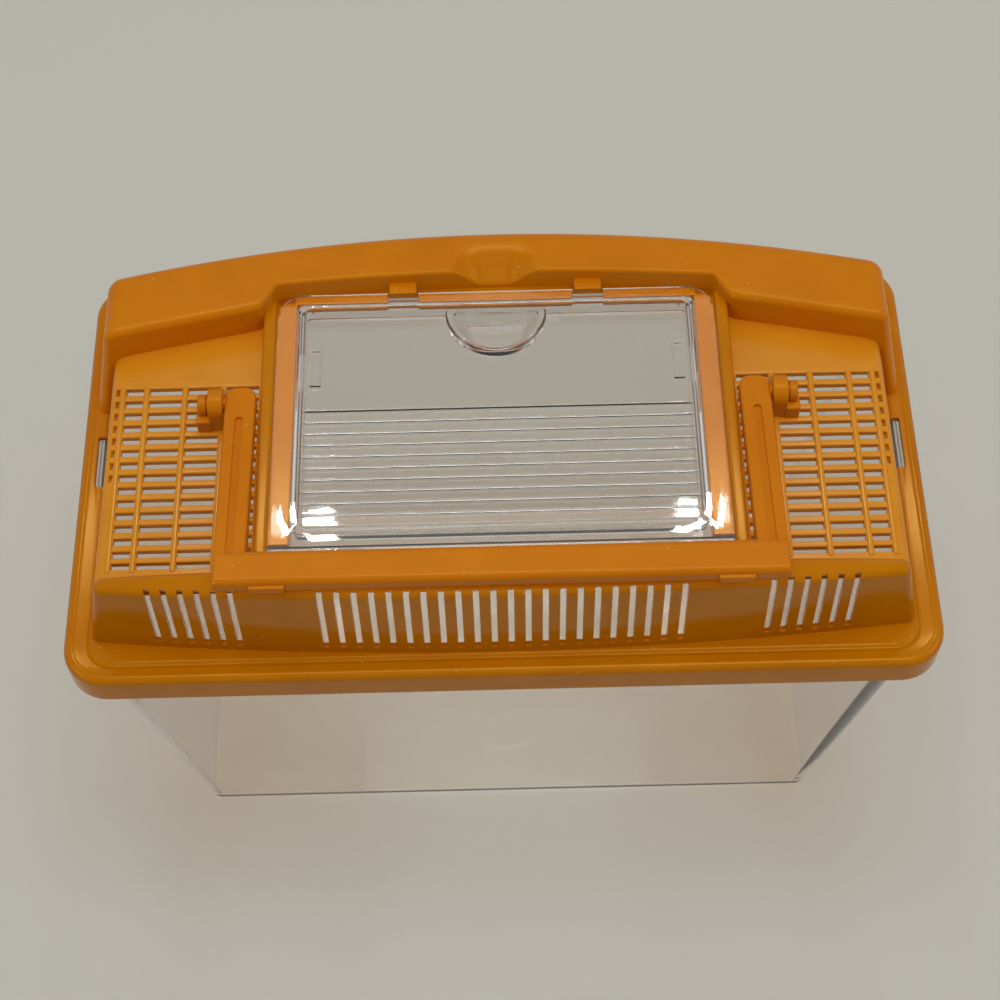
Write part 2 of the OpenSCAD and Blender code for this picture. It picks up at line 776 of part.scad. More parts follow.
// Grip bar with rounded long edges and two finger tabs
module grip() {
    r = 2;
    half = handle_half;
    for (y = [grip_front + r, grip_back - r], z = [grip_z + r, grip_z + grip_t - r])
        translate([0, y, z])
            rotate([0, 90, 0])
                cylinder(h = 2 * half, r = r, center = true, $fn = fine);
    block([-half, grip_front + r, grip_z], [half, grip_back - r, grip_z + grip_t]);
    block([-half, grip_front, grip_z + r], [half, grip_back, grip_z + grip_t - r]);
    for (side = [-1, 1])
        translate([side * tab_x - tab_w / 2, grip_front - tab_out, grip_z + r])
            cube([tab_w, tab_out + cut, grip_t - 2 * r]);
}

// Folding carry handle: two arms on pegs and a grip across the front
module carry_handle() {
    color([0.62, 0.33, 0.02])
        union() {
            arm();
            mirror([1, 0, 0])
                arm();
            grip();
        }
}

tank();
lid();
feeding_hatch();
carry_handle();
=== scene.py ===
"""Small-animal keeper: a clear tapered tank with an orange vented lid.

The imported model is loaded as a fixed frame. Every moulding is then modelled
again with its rounded edges, ribs and slots, dressed, and put on its body.
Sizes in the classes are millimetres; a piece is scaled to metres at its end.
"""

import logging
import math
from collections.abc import Callable, Sequence
from dataclasses import dataclass, field
from enum import Enum

import bmesh
import bpy
from mathutils import Matrix, Vector


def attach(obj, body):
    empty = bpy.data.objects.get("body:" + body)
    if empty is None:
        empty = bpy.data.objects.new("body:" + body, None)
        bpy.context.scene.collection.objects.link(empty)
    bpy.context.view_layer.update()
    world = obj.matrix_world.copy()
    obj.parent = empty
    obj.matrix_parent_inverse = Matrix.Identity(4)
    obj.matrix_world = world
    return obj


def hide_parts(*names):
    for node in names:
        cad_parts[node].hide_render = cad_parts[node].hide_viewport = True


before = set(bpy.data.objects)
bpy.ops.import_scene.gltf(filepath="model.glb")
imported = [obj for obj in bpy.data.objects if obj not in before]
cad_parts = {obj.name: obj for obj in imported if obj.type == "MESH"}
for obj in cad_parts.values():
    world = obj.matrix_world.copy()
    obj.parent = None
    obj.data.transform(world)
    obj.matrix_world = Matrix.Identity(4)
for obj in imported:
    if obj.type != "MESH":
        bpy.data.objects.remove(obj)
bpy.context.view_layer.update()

LOG = logging.getLogger("keeper")
MM = 0.001

Ring = Sequence[Vector]
Test = Callable[[object], bool]
Pair = tuple[float, float]
Place = tuple[float, float, float]
Colour = tuple[float, float, float, float]


class Body(Enum):
    """The CAD bodies that pieces ride on, with the node and slot of each."""

    TANK = ("tank", "tank", "clear_tank")
    LID = ("lid", "lid", "orange_lid")
    HATCH = ("hatch", "feeding_hatch", "clear_hatch")
    HANDLE = ("handle", "carry_handle", "orange_handle")


# Modelling: pieces start from primitives and are shaped in edit mode.


def mid(part: object) -> Vector:
    """The middle of a bmesh edge or face.

    Args:
        part: A bmesh edge or face.

    Returns:
        The mean of its corners.
    """
    corners = [v.co for v in part.verts]
    return sum(corners, Vector()) / len(corners)


def along(edge: object) -> Vector:
    """The direction of a bmesh edge, with positive parts.

    Args:
        edge: A bmesh edge.

    Returns:
        A unit vector of absolute values.
    """
    line = (edge.verts[1].co - edge.verts[0].co).normalized()
    return Vector((abs(line.x), abs(line.y), abs(line.z)))


def folded(edge: object, degrees: float = 30.0) -> bool:
    """True for an edge whose two faces meet at more than an angle.

    Args:
        edge: A bmesh edge.
        degrees: The least angle.

    Returns:
        Whether the edge is a sharp one.
    """
    return len(edge.link_faces) == 2 and edge.calc_face_angle() > math.radians(degrees)


@dataclass(frozen=True)
class Outline:
    """A rounded rectangle in plan whose front and back may bow inwards."""

    half: float
    front: float
    back: float
    corner: float
    front_bow: float = 0.0
    back_bow: float = 0.0
    arc: int = 8
    long_side: int = 28
    short_side: int = 8

    def ring(self, z: float) -> list[Vector]:
        """The outline's points at a height, always as many and in one order.

        Args:
            z: The height.

        Returns:
            The points, anticlockwise from the front's left end.
        """
        x, r = self.half - self.corner, self.corner
        low, high = self.front + r, self.back - r
        points: list[Vector] = []
        points += self._side((-x, self.front), (x, self.front), self.long_side)
        points += self._arc(x, low, r, -90)
        points += self._side((self.half, low), (self.half, high), self.short_side)
        points += self._arc(x, high, r, 0)
        points += self._side((x, self.back), (-x, self.back), self.long_side)
        points += self._arc(-x, high, r, 90)
        points += self._side((-self.half, high), (-self.half, low), self.short_side)
        points += self._arc(-x, low, r, 180)
        middle = (self.front + self.back) / 2
        made = []
        for p in points:
            share = (p.x / self.half) ** 2
            side = (p.y - middle) / (self.back - middle)
            bow = self.front_bow * max(0, -side) - self.back_bow * max(0, side)
            made.append(Vector((p.x, p.y + bow * share, z)))
        return made

    def _side(self, start: Pair, end: Pair, steps: int) -> list[Vector]:
        """The points between two corners, without the corners' own."""
        a, b = Vector((*start, 0)), Vector((*end, 0))
        return [a.lerp(b, i / steps) for i in range(1, steps)]

    def _arc(self, x: float, y: float, r: float, start: float) -> list[Vector]:
        """The points of a quarter turn from an angle in degrees."""
        turns = [math.radians(start + 90 * i / self.arc) for i in range(self.arc + 1)]
        return [Vector((x + r * math.cos(t), y + r * math.sin(t), 0)) for t in turns]


class Moulding:
    """One piece on the bench, modelled in millimetres with Blender's tools."""

    def __init__(self, name: str) -> None:
        """Names the piece, which has no mesh yet."""
        self.name = name
        self.obj: bpy.types.Object | None = None

    @staticmethod
    def clear() -> None:
        """Leaves edit mode and deselects everything."""
        active = bpy.context.view_layer.objects.active
        if active is not None and active.mode != "OBJECT":
            bpy.ops.object.mode_set(mode="OBJECT")
        bpy.ops.object.select_all(action="DESELECT")

    def _adopt(self) -> None:
        """Takes the new primitive as this piece."""
        self.obj = bpy.context.object
        self.obj.name = self.name
        self.obj.data.name = self.name

    def _hold(self) -> None:
        """Makes this piece the only selected one."""
        self.clear()
        self.obj.select_set(True)
        bpy.context.view_layer.objects.active = self.obj

    def _edit(self, kind: str = "FACE", action: str = "DESELECT") -> bmesh.types.BMesh:
        """Enters edit mode with nothing or everything selected.

        Args:
            kind: FACE, EDGE or VERT.
            action: DESELECT for nothing or SELECT for everything.

        Returns:
            The mesh in edit mode.
        """
        self._hold()
        bpy.ops.object.mode_set(mode="EDIT")
        bpy.ops.mesh.select_mode(type=kind)
        bpy.ops.mesh.select_all(action=action)
        self._bm().normal_update()
        return self._bm()

    def _modify(self, kind: str, **values: object) -> "Moulding":
        """Adds a modifier and applies it.

        Args:
            kind: The modifier's type.
            values: Its properties.

        Returns:
            This piece.
        """
        self._hold()
        modifier = self.obj.modifiers.new(kind.lower(), kind)
        for name, value in values.items():
            setattr(modifier, name, value)
        bpy.ops.object.modifier_apply(modifier=modifier.name)
        return self

    def block(self, low: Sequence[float], high: Sequence[float]) -> "Moulding":
        """Starts from a cube primitive between two corners.

        Args:
            low: The corner with the lowest values.
            high: The opposite corner.

        Returns:
            This piece.
        """
        lo, hi = Vector(low), Vector(high)
        self.clear()
        bpy.ops.mesh.primitive_cube_add(size=1, location=(lo + hi) / 2)
        self._adopt()
        self.obj.scale = hi - lo
        bpy.ops.object.transform_apply()
        return self

    def rod(
        self, start: Sequence[float], radius: float, length: float, sides: int = 40
    ) -> "Moulding":
        """Starts from a cylinder primitive that runs along +X.

        Args:
            start: The middle of its left end.
            radius: Its radius.
            length: Its length.
            sides: How many sides stand for the round.

        Returns:
            This piece.
        """
        self.clear()
        middle = Vector(start) + Vector((length / 2, 0, 0))
        turn = (0, math.pi / 2, 0)
        bpy.ops.mesh.primitive_cylinder_add(
            vertices=sides, radius=radius, depth=length, location=middle, rotation=turn
        )
        self._adopt()
        bpy.ops.object.transform_apply()
        return self

    def loft(self, rings: Sequence[Ring], hollow: bool = False) -> "Moulding":
        """Grows the piece ring by ring by extruding its open face.

        Args:
            rings: The rings in order, each with as many points.
            hollow: Joins the last ring to the first in place of the two caps.

        Returns:
            This piece.
        """
        self.clear()
        bpy.ops.mesh.primitive_circle_add(vertices=len(rings[0]), fill_type="NGON")
        self._adopt()
        for vertex, place in zip(self.obj.data.vertices, rings[0], strict=True):
            vertex.co = place
        bm = self._edit(action="SELECT")
        last = {tuple(v.co): i for i, v in enumerate(bm.verts)}
        for ring in rings[1:]:
            bpy.ops.mesh.extrude_region_move()
            order = {}
            for vertex in self._bm().verts:
                if vertex.select:
                    index = last[tuple(vertex.co)]
                    vertex.co = ring[index]
                    order[tuple(vertex.co)] = index
            last = order
            bmesh.update_edit_mesh(self.obj.data)
        if hollow:
            self._pick("FACE", lambda f: len(f.verts) == len(rings[0]))
            bpy.ops.mesh.delete(type="ONLY_FACE")
            self._pick("EDGE", lambda e: len(e.link_faces) == 1)
            bpy.ops.mesh.bridge_edge_loops()
        return self

    def _bm(self) -> bmesh.types.BMesh:
        """The mesh in edit mode."""
        return bmesh.from_edit_mesh(self.obj.data)

    def _pick(self, kind: str, test: Test) -> int:
        """Selects the faces, edges or corners that pass a test.

        Args:
            kind: FACE, EDGE or VERT.
            test: What a bmesh element has to pass.

        Returns:
            How many were selected.
        """
        bm = self._edit(kind)
        parts = {"FACE": bm.faces, "EDGE": bm.edges, "VERT": bm.verts}[kind]
        chosen = [part for part in parts if test(part)]
        for part in chosen:
            part.select_set(True)
        bmesh.update_edit_mesh(self.obj.data)
        return len(chosen)

    def slice_at(self, axis: int, places: Sequence[float]) -> "Moulding":
        """Cuts loops through the mesh.

        Args:
            axis: 0, 1 or 2 for X, Y or Z.
            places: Where along that axis.

        Returns:
            This piece.
        """
        normal = Vector((0, 0, 0))
        normal[axis] = 1
        for place in places:
            self._edit(action="SELECT")
            bpy.ops.mesh.bisect(plane_co=normal * place, plane_no=normal)
        return self

    def round_off(self, test: Test, radius: float, segments: int = 3) -> "Moulding":
        """Bevels the edges that pass a test.

        Args:
            test: Tells which edges.
            radius: The width of the rounding.
            segments: How many faces it has.

        Returns:
            This piece.
        """
        if self._pick("EDGE", test):
            bpy.ops.mesh.bevel(
                offset=radius, segments=segments, affect="EDGES", clamp_overlap=True
            )
        return self

    def press(self, test: Test, depth: float, margin: float = 0.0) -> "Moulding":
        """Insets the faces that pass a test and moves them along their normal."""
        if self._pick("FACE", test):
            bpy.ops.mesh.inset(thickness=margin, depth=depth)
        return self

    def remove(self, test: Test) -> "Moulding":
        """Deletes the faces that pass a test."""
        if self._pick("FACE", test):
            bpy.ops.mesh.delete(type="FACE")
        return self

    def bend(self, shape: Callable[[Vector], Vector]) -> "Moulding":
        """Moves each point of the flat piece to its curved place.

        Args:
            shape: Gives the curved place of a flat one.

        Returns:
            This piece.
        """
        self._hold()
        for vertex in self.obj.data.vertices:
            vertex.co = shape(vertex.co.copy())
        self.obj.data.update()
        return self

    def thicken(self, thickness: float) -> "Moulding":
        """Gives an open shell its wall, on the inner side."""
        return self._modify("SOLIDIFY", thickness=thickness, offset=-1)

    def combine(self, other: "Moulding", how: str) -> "Moulding":
        """Unites with another piece or cuts it away, and uses it up.

        Args:
            other: The other piece.
            how: UNION or DIFFERENCE.

        Returns:
            This piece.
        """
        other.outward()
        self.outward()
        self._modify("BOOLEAN", operation=how, solver="EXACT", object=other.obj)
        bpy.data.objects.remove(other.obj)
        return self

    def join(self, *others: "Moulding") -> "Moulding":
        """Takes other pieces into this one as they are.

        Args:
            others: The pieces, which are used up.

        Returns:
            This piece.
        """
        self._hold()
        for other in others:
            other.obj.select_set(True)
        bpy.ops.object.join()
        return self

    def twin(self, name: str) -> "Moulding":
        """A copy with its own mesh, mirrored to the other side.

        Args:
            name: The copy's name.

        Returns:
            The mirrored piece.
        """
        self._hold()
        bpy.ops.object.duplicate(linked=False)
        made = Moulding(name)
        made._adopt()
        made.obj.scale.x = -1
        bpy.ops.object.transform_apply()
        return made.outward()

    def outward(self) -> "Moulding":
        """Turns every face outwards.

        Returns:
            This piece.
        """
        self._edit(action="SELECT")
        bpy.ops.mesh.normals_make_consistent(inside=False)
        self._hold()
        return self

    def weld(self, gap: float) -> "Moulding":
        """Merges points that lie on one another.

        Args:
            gap: How far apart they may be.

        Returns:
            This piece.
        """
        self._edit("VERT", "SELECT")
        bpy.ops.mesh.remove_doubles(threshold=gap)
        self._hold()
        return self

    def done(
        self, body: Body, material: bpy.types.Material, angle: float = 35.0
    ) -> bpy.types.Object:
        """Scales the piece to metres, smooths and dresses it, and seats it.

        Args:
            body: The body it rides on, whose node it stands for.
            material: Its material.
            angle: Edges sharper than this, in degrees, stay sharp.

        Returns:
            The finished object.
        """
        self.outward()
        self.obj.scale = (MM, MM, MM)
        bpy.ops.object.transform_apply()
        bpy.ops.object.shade_smooth_by_angle(angle=math.radians(angle))
        self._modify("WEIGHTED_NORMAL", keep_sharp=True)
        self.obj.data.materials.clear()
        self.obj.data.materials.append(material)
        rider, node, slot = body.value
        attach(self.obj, rider)
        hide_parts(node)
        LOG.info("%s: %d faces", self.name, len(self.obj.data.polygons))
        return self.obj

    def pair(
        self, left: str, body: Body, material: bpy.types.Material, angle: float = 35.0
    ) -> None:
        """Seats the piece and a copy of it on the other side.

        Args:
            left: The copy's name.
            body: The body that both ride on.
            material: Their material.
            angle: Edges sharper than this, in degrees, stay sharp.
        """
        other = self.twin(left)
        self.done(body, material, angle)
        other.done(body, material, angle)


def lattice(
    name: str, us: Sequence[float], vs: Sequence[float], open_at: Callable[[float, float], bool]
) -> Moulding:
    """A flat sheet of a grid primitive with openings left out.

    Args:
        name: The piece's name.
        us: The places of the grid's lines along X, in order.
        vs: The places of the grid's lines along Y, in order.
        open_at: Tells whether the cell round a point is open.

    Returns:
        The sheet at z = 0.
    """
    sheet = Moulding(name)
    sheet.clear()
    nu, nv = len(us) - 1, len(vs) - 1
    bpy.ops.mesh.primitive_grid_add(x_subdivisions=nu, y_subdivisions=nv, size=2)
    sheet._adopt()
    for vertex in sheet.obj.data.vertices:
        i = round((vertex.co.x + 1) / 2 * nu)
        j = round((vertex.co.y + 1) / 2 * nv)
        vertex.co = (us[i], vs[j], 0)
    sheet.remove(lambda f: open_at(mid(f).x, mid(f).y))
    return sheet


def spread(start: float, end: float, steps: int) -> list[float]:
    """Evenly spaced values from start to end.

    Args:
        start: The first value.
        end: The last value.
        steps: The number of gaps between them.

    Returns:
        The values, both ends included.
    """
    return [start + (end - start) * i / steps for i in range(steps + 1)]


def eased(t: float) -> float:
    """A share from 0 to 1 that starts and ends softly.

    Args:
        t: The plain share.

    Returns:
        The eased share.
    """
    t = min(1.0, max(0.0, t))
    return t * t * (3 - 2 * t)


# Finishes: procedural plastics that share two node groups.


def srgb(red: int, green: int, blue: int) -> Colour:
    """A colour as a screen shows it, as the linear one that a shader takes.

    Args:
        red: Red from 0 to 255.
        green: Green from 0 to 255.
        blue: Blue from 0 to 255.

    Returns:
        The linear colour with full alpha.
    """

    def linear(value: float) -> float:
        """One channel without the screen's curve."""
        share = value / 255
        return share / 12.92 if share <= 0.04045 else ((share + 0.055) / 1.055) ** 2.4

    return (linear(red), linear(green), linear(blue), 1.0)


class Nodes:
    """A node tree under construction."""

    def __init__(self, tree: bpy.types.NodeTree) -> None:
        """Takes the tree and empties it."""
        self.tree = tree
        tree.nodes.clear()

    def add(self, kind: str, **values: object) -> bpy.types.Node:
        """Adds a node and sets its properties and sockets.

        Args:
            kind: The node's class name.
            values: Properties, or sockets by name with _ for a space.

        Returns:
            The node.
        """
        node = self.tree.nodes.new(kind)
        sockets = {s.name.replace(" ", "_"): s for s in reversed(node.inputs)}
        for name, value in values.items():
            if name in sockets:
                self.feed(sockets[name], value)
            else:
                setattr(node, name, value)
        return node

    def feed(self, socket: bpy.types.NodeSocket, value: object) -> None:
        """Links a socket or sets its value."""
        if isinstance(value, bpy.types.NodeSocket):
            self.tree.links.new(value, socket)
        else:
            socket.default_value = value

    def span(self, value: bpy.types.NodeSocket, **limits: object) -> bpy.types.NodeSocket:
        """Maps a value from one range to another."""
        return self.add("ShaderNodeMapRange", Value=value, **limits).outputs["Result"]

    def noise(
        self, place: bpy.types.NodeSocket, scale: object, detail: float
    ) -> bpy.types.NodeSocket:
        """The value of a noise texture."""
        node = self.add("ShaderNodeTexNoise", Vector=place, Scale=scale, Detail=detail)
        return node.outputs["Fac"]

    def blend(self, factor: object, first: object, second: object) -> bpy.types.NodeSocket:
        """Mixes two colours.

        Args:
            factor: The share of the second.
            first: The first colour, a value or a socket.
            second: The second colour.

        Returns:
            The mixed colour.
        """
        node = self.add("ShaderNodeMix", data_type="RGBA", Factor=factor)
        colours = [socket for socket in node.inputs if socket.type == "RGBA"]
        self.feed(colours[0], first)
        self.feed(colours[1], second)
        return next(socket for socket in node.outputs if socket.type == "RGBA")

    def larger(self, first: object, second: object) -> bpy.types.NodeSocket:
        """The larger of two values.

        Args:
            first: A value or a socket.
            second: Another.

        Returns:
            The larger one.
        """
        node = self.add("ShaderNodeMath", operation="MAXIMUM")
        self.feed(node.inputs[0], first)
        self.feed(node.inputs[1], second)
        return node.outputs["Value"]

    def show(
        self, output: str, factor: object, first: bpy.types.Node, second: bpy.types.Node
    ) -> None:
        """Mixes two shaders and puts the result out.

        Args:
            output: The output node's class name.
            factor: The share of the second.
            first: The node of the first shader.
            second: The node of the second.
        """
        mixed = self.add("ShaderNodeMixShader")
        for socket, value in zip(mixed.inputs, (factor, first.outputs[0], second.outputs[0])):
            self.feed(socket, value)
        self.add(output, Surface=mixed.outputs["Shader"])


def new_material(name: str) -> tuple[bpy.types.Material, Nodes]:
    """A material without nodes.

    Args:
        name: Its name.

    Returns:
        The material and its builder.
    """
    mat = bpy.data.materials.new(name)
    mat.use_nodes = True
    return mat, Nodes(mat.node_tree)


def new_group(
    name: str, inputs: dict[str, float], outputs: Sequence[str]
) -> tuple[bpy.types.NodeTree, Nodes, bpy.types.Node, bpy.types.Node]:
    """An empty shader node group with float sockets.

    Args:
        name: The group's name.
        inputs: Its inputs and their values.
        outputs: Its outputs.

    Returns:
        The tree, its builder, its input node and its output node.
    """
    tree = bpy.data.node_groups.new(name, "ShaderNodeTree")
    for label, value in inputs.items():
        made = tree.interface.new_socket(label, in_out="INPUT", socket_type="NodeSocketFloat")
        made.default_value = value
    for label in outputs:
        tree.interface.new_socket(label, in_out="OUTPUT", socket_type="NodeSocketFloat")
    nodes = Nodes(tree)
    return tree, nodes, nodes.add("NodeGroupInput"), nodes.add("NodeGroupOutput")


def moulded_skin() -> bpy.types.NodeTree:
    """The faint waviness and fine grain of an injection-moulded surface.

    Returns:
        A group that puts out a height and a slow mask.
    """
    tree, nodes, given, out = new_group(
        "moulded_skin", {"Grain": 900.0, "Wave": 60.0, "Share": 0.3}, ["Height", "Flow"]
    )
    place = nodes.add("ShaderNodeTexCoord").outputs["Object"]
    grain = nodes.noise(place, given.outputs["Grain"], 2.0)
    wave = nodes.noise(place, given.outputs["Wave"], 3.0)
    share = given.outputs["Share"]
    mix = nodes.add("ShaderNodeMix", data_type="FLOAT", Factor=share, A=wave, B=grain)
    nodes.feed(out.inputs["Height"], mix.outputs["Result"])
    nodes.feed(out.inputs["Flow"], wave)
    return tree


def handling_marks() -> bpy.types.NodeTree:
    """Hair-fine scuffs in two directions and sparse specks of dust.

    Returns:
        A group that puts out a mask of scuffs and one of specks.
    """
    tree, nodes, given, out = new_group(
        "handling_marks", {"Scuffs": 0.4, "Specks": 0.3}, ["Scuff", "Speck"]
    )
    place = nodes.add("ShaderNodeTexCoord").outputs["Object"]
    masks = []
    for turn, stretch in ((0.5, (40.0, 900.0, 300.0)), (-0.9, (700.0, 60.0, 260.0))):
        turned = nodes.add(
            "ShaderNodeMapping", Vector=place, Rotation=(0.2, 0.1, turn), Scale=stretch
        )
        lines = nodes.noise(turned.outputs["Vector"], 1.0, 1.0)
        most = given.outputs["Scuffs"]
        masks.append(nodes.span(lines, From_Min=0.66, From_Max=0.76, To_Max=most))
    cells = nodes.add("ShaderNodeTexVoronoi", Vector=place, Scale=170.0)
    distance, most = cells.outputs["Distance"], given.outputs["Specks"]
    speck = nodes.span(distance, From_Min=0.08, From_Max=0.03, To_Max=most)
    nodes.feed(out.inputs["Scuff"], nodes.larger(*masks))
    nodes.feed(out.inputs["Speck"], speck)
    return tree


@dataclass(frozen=True)
class Effects:
    """The node groups that the finishes share."""

    skin: bpy.types.NodeTree
    marks: bpy.types.NodeTree

    def place(self, nodes: Nodes, tree: bpy.types.NodeTree, **values: float) -> bpy.types.Node:
        """Puts a group into a material with its own values.

        Args:
            nodes: The material's nodes.
            tree: The group.
            values: The group's inputs.

        Returns:
            The group's node.
        """
        node = nodes.tree.nodes.new("ShaderNodeGroup")
        node.node_tree = tree
        for name, value in values.items():
            nodes.feed(node.inputs[name], value)
        return node


def dress(
    nodes: Nodes,
    skin: bpy.types.Node,
    marks: bpy.types.Node,
    wear: Pair,
    relief: Pair,
    passes: Colour,
    **surface: object,
) -> None:
    """Adds a surface that lets some light by in shadow rays.

    Args:
        nodes: The material's nodes.
        skin: The placed skin group.
        marks: The placed group of marks.
        wear: The roughness, clean and scuffed.
        relief: The strength and distance of the bump.
        passes: The light that a shadow ray lets by.
        surface: The other sockets of the surface.
    """
    rough = nodes.span(marks.outputs["Scuff"], To_Min=wear[0], To_Max=wear[1])
    height = skin.outputs["Height"]
    bump = nodes.add("ShaderNodeBump", Strength=relief[0], Distance=relief[1], Height=height)
    shader = nodes.add(
        "ShaderNodeBsdfPrincipled", Roughness=rough, Normal=bump.outputs["Normal"], **surface
    )
    let_by = nodes.add("ShaderNodeBsdfTransparent", Color=passes)
    ray = nodes.add("ShaderNodeLightPath")
    nodes.show("ShaderNodeOutputMaterial", ray.outputs["Is Shadow Ray"], shader, let_by)


@dataclass(frozen=True)
class OrangePlastic:
    """A tinted moulding that lets a little light in, with an optional painted glow on its steep
    faces.
    """

    name: str
    tone: Colour
    deep: Colour
    roughness: float = 0.25
    bump: float = 0.12
    grain: float = 1400.0
    glow: float = 0.12
    scuffs: float = 0.03
    index: float = 1.42
    mirror: Colour = (1.0, 0.62, 0.15, 1.0)
    # upright, when given, is a lighter colour painted onto steep faces: a painted glow for light
    # shining through the plastic.
    upright: Colour | None = None
    passes: Colour = (0.8, 0.64, 0.5, 1.0)

    def make(self, effects: Effects) -> bpy.types.Material:
        """Builds the material.

        Args:
            effects: The shared node groups.

        Returns:
            The material.
        """
        mat, nodes = new_material(self.name)
        skin = effects.place(nodes, effects.skin, Grain=self.grain, Wave=45.0)
        marks = effects.place(nodes, effects.marks, Scuffs=self.scuffs, Specks=0.25)
        flow = nodes.span(skin.outputs["Flow"], From_Min=0.35, From_Max=0.65)
        tone = nodes.blend(flow, self.tone, self.deep)
        # Painted glow: steep faces blend towards the lighter upright colour, in place of light
        # shining through the plastic.
        if self.upright:
            normal = nodes.add("ShaderNodeNewGeometry").outputs["Normal"]
            up = nodes.add("ShaderNodeSeparateXYZ", Vector=normal).outputs["Z"]
            stands = nodes.span(up, From_Min=0.25, From_Max=0.85, To_Min=1.0, To_Max=0.0)
            tone = nodes.blend(stands, tone, self.upright)
        dress(
            nodes, skin, marks, (self.roughness, self.roughness + 0.25), (self.bump, 0.0004),
            self.passes,
            Base_Color=nodes.blend(marks.outputs["Speck"], tone, srgb(222, 190, 140)),
            IOR=self.index,
            Specular_Tint=self.mirror,
            Subsurface_Weight=self.glow,
            Subsurface_Radius=(1.0, 0.4, 0.08),
            Subsurface_Scale=0.004,
        )
        return mat


@dataclass(frozen=True)
class ClearPlastic:
    """A see-through moulding, which lets light pass in place of a full shadow."""

    name: str
    tone: Colour
    roughness: float = 0.02
    bump: float = 0.015
    index: float = 1.5
    sheen: float = 0.0
    passes: Colour = (0.93, 0.93, 0.92, 1.0)

    def make(self, effects: Effects) -> bpy.types.Material:
        """Builds the material.

        Args:
            effects: The shared node groups.

        Returns:
            The material.
        """
        mat, nodes = new_material(self.name)
        skin = effects.place(nodes, effects.skin, Grain=300.0, Wave=35.0, Share=0.1)
        marks = effects.place(nodes, effects.marks, Scuffs=0.35, Specks=0.5)
        dress(
            nodes, skin, marks, (self.roughness, self.roughness + 0.12), (self.bump, 0.0005),
            self.passes,
            Base_Color=nodes.blend(marks.outputs["Speck"], self.tone, srgb(205, 205, 205)),
            IOR=self.index,
            Transmission_Weight=1.0,
            Sheen_Weight=self.sheen,
            Sheen_Roughness=0.35,
        )
        return mat


class Palette:
    """Every finish of the keeper, built once."""

    def __init__(self) -> None:
        """Builds the groups and the materials."""
        effects = Effects(moulded_skin(), handling_marks())
        satin = {"roughness": 0.3, "bump": 0.14}
        self.satin = OrangePlastic(
            "lid_satin", srgb(190, 111, 0), srgb(184, 105, 0), **satin
        ).make(effects)
        # The ridge's finish has a painted glow: its steep faces take the lighter upright colour.
        self.ridge = OrangePlastic(
            "ridge_satin", srgb(188, 109, 0), srgb(182, 103, 0), upright=srgb(208, 122, 3), **satin
        ).make(effects)
        self.handle = OrangePlastic(
            "handle_satin", srgb(190, 108, 6), srgb(184, 102, 2), **satin
        ).make(effects)
        self.gloss = OrangePlastic(
            "lid_gloss", srgb(180, 108, 0), srgb(173, 101, 0), roughness=0.14, bump=0.05
        ).make(effects)
        # The panels' finish is lighter and yellower than lid_gloss: painted light for the light
        # that the thin panels reflect and let through.
        self.panel = OrangePlastic(
            "panel_gloss", srgb(204, 132, 22), srgb(197, 125, 14), roughness=0.16, bump=0.05,
            mirror=(1.0, 0.78, 0.5, 1.0),
        ).make(effects)
        # The clear tones are darker than clear plastic is: painted shade that dims what is seen
        # through the tank and the hatch.
        self.tank = ClearPlastic(
            "clear_tank_wall", (0.888, 0.866, 0.834, 1.0), sheen=0.3
        ).make(effects)
        self.hatch = ClearPlastic(
            "clear_hatch_wall", (0.885, 0.87, 0.85, 1.0), sheen=0.35
        ).make(effects)


# Sub-assemblies, one class each.


@dataclass
class LidPlan:
    """The curves in plan that the lid's mouldings share."""

    half: float = 114.5
    end_lean: float = 11.0
    front: float = -61.4
    front_bow: float = 6.0
    front_lean: float = 4.5
    band_top: float = 149.0
    band_back: float = -48.72
    crown: float = 3.0
    crown_half: float = 105.0
    panel: float = 141.0
    flange: float = 120.0
    inside: float = 139.3
    foot: float = 119.6
    ridge_half: float = 118.8
    ridge_lean: float = 12.5
    ridge_top: float = 153.0
    rear: float = 62.0
    rear_lean: float = 5.0
    rear_bow: float = 13.0
    rear_half: float = 109.0
    ridge_front: float = 35.2
    sweep: float = 11.6
    bay: float = 44.4
    bay_bow: float = 2.9
    bay_half: float = 63.3
    jog_start: float = 0.6
    jog_run: float = 4.2

    def front_at(self, x: float) -> float:
        """Where the front wall's foot is beside a place x."""
        return self.front + self.front_bow * (x / self.half) ** 2

    def top_at(self, x: float) -> float:
        """The height of the crowned front band beside a place x."""
        return self.band_top - self.crown * (x / self.crown_half) ** 2

    def end_at(self, z: float) -> float:
        """Half the dome's length at a height."""
        return self.half - (z - self.flange) * math.tan(math.radians(self.end_lean))

    def ridge_front_at(self, x: float) -> float:
        """Where the ridge's front face is, with the soft jog beside the hatch.

        Args:
            x: The place along the lid's length.

        Returns:
            Its Y.
        """
        out = abs(x)
        share = max(0.0, out - self.bay_half) / (self.ridge_half - self.bay_half)
        side = self.ridge_front - self.sweep * share
        bay = self.bay - self.bay_bow * min(1.0, out / self.bay_half) ** 2
        return bay + (side - bay) * eased((out - self.bay_half + self.jog_start) / self.jog_run)

    def rear_at(self, x: float) -> float:
        """Where the ridge's back wall's foot is beside a place x."""
        return self.rear - self.rear_bow * (x / self.rear_half) ** 2


@dataclass
class SubAssembly:
    """What every sub-assembly is built with: the finishes and the lid's curves."""

    palette: Palette
    plan: LidPlan


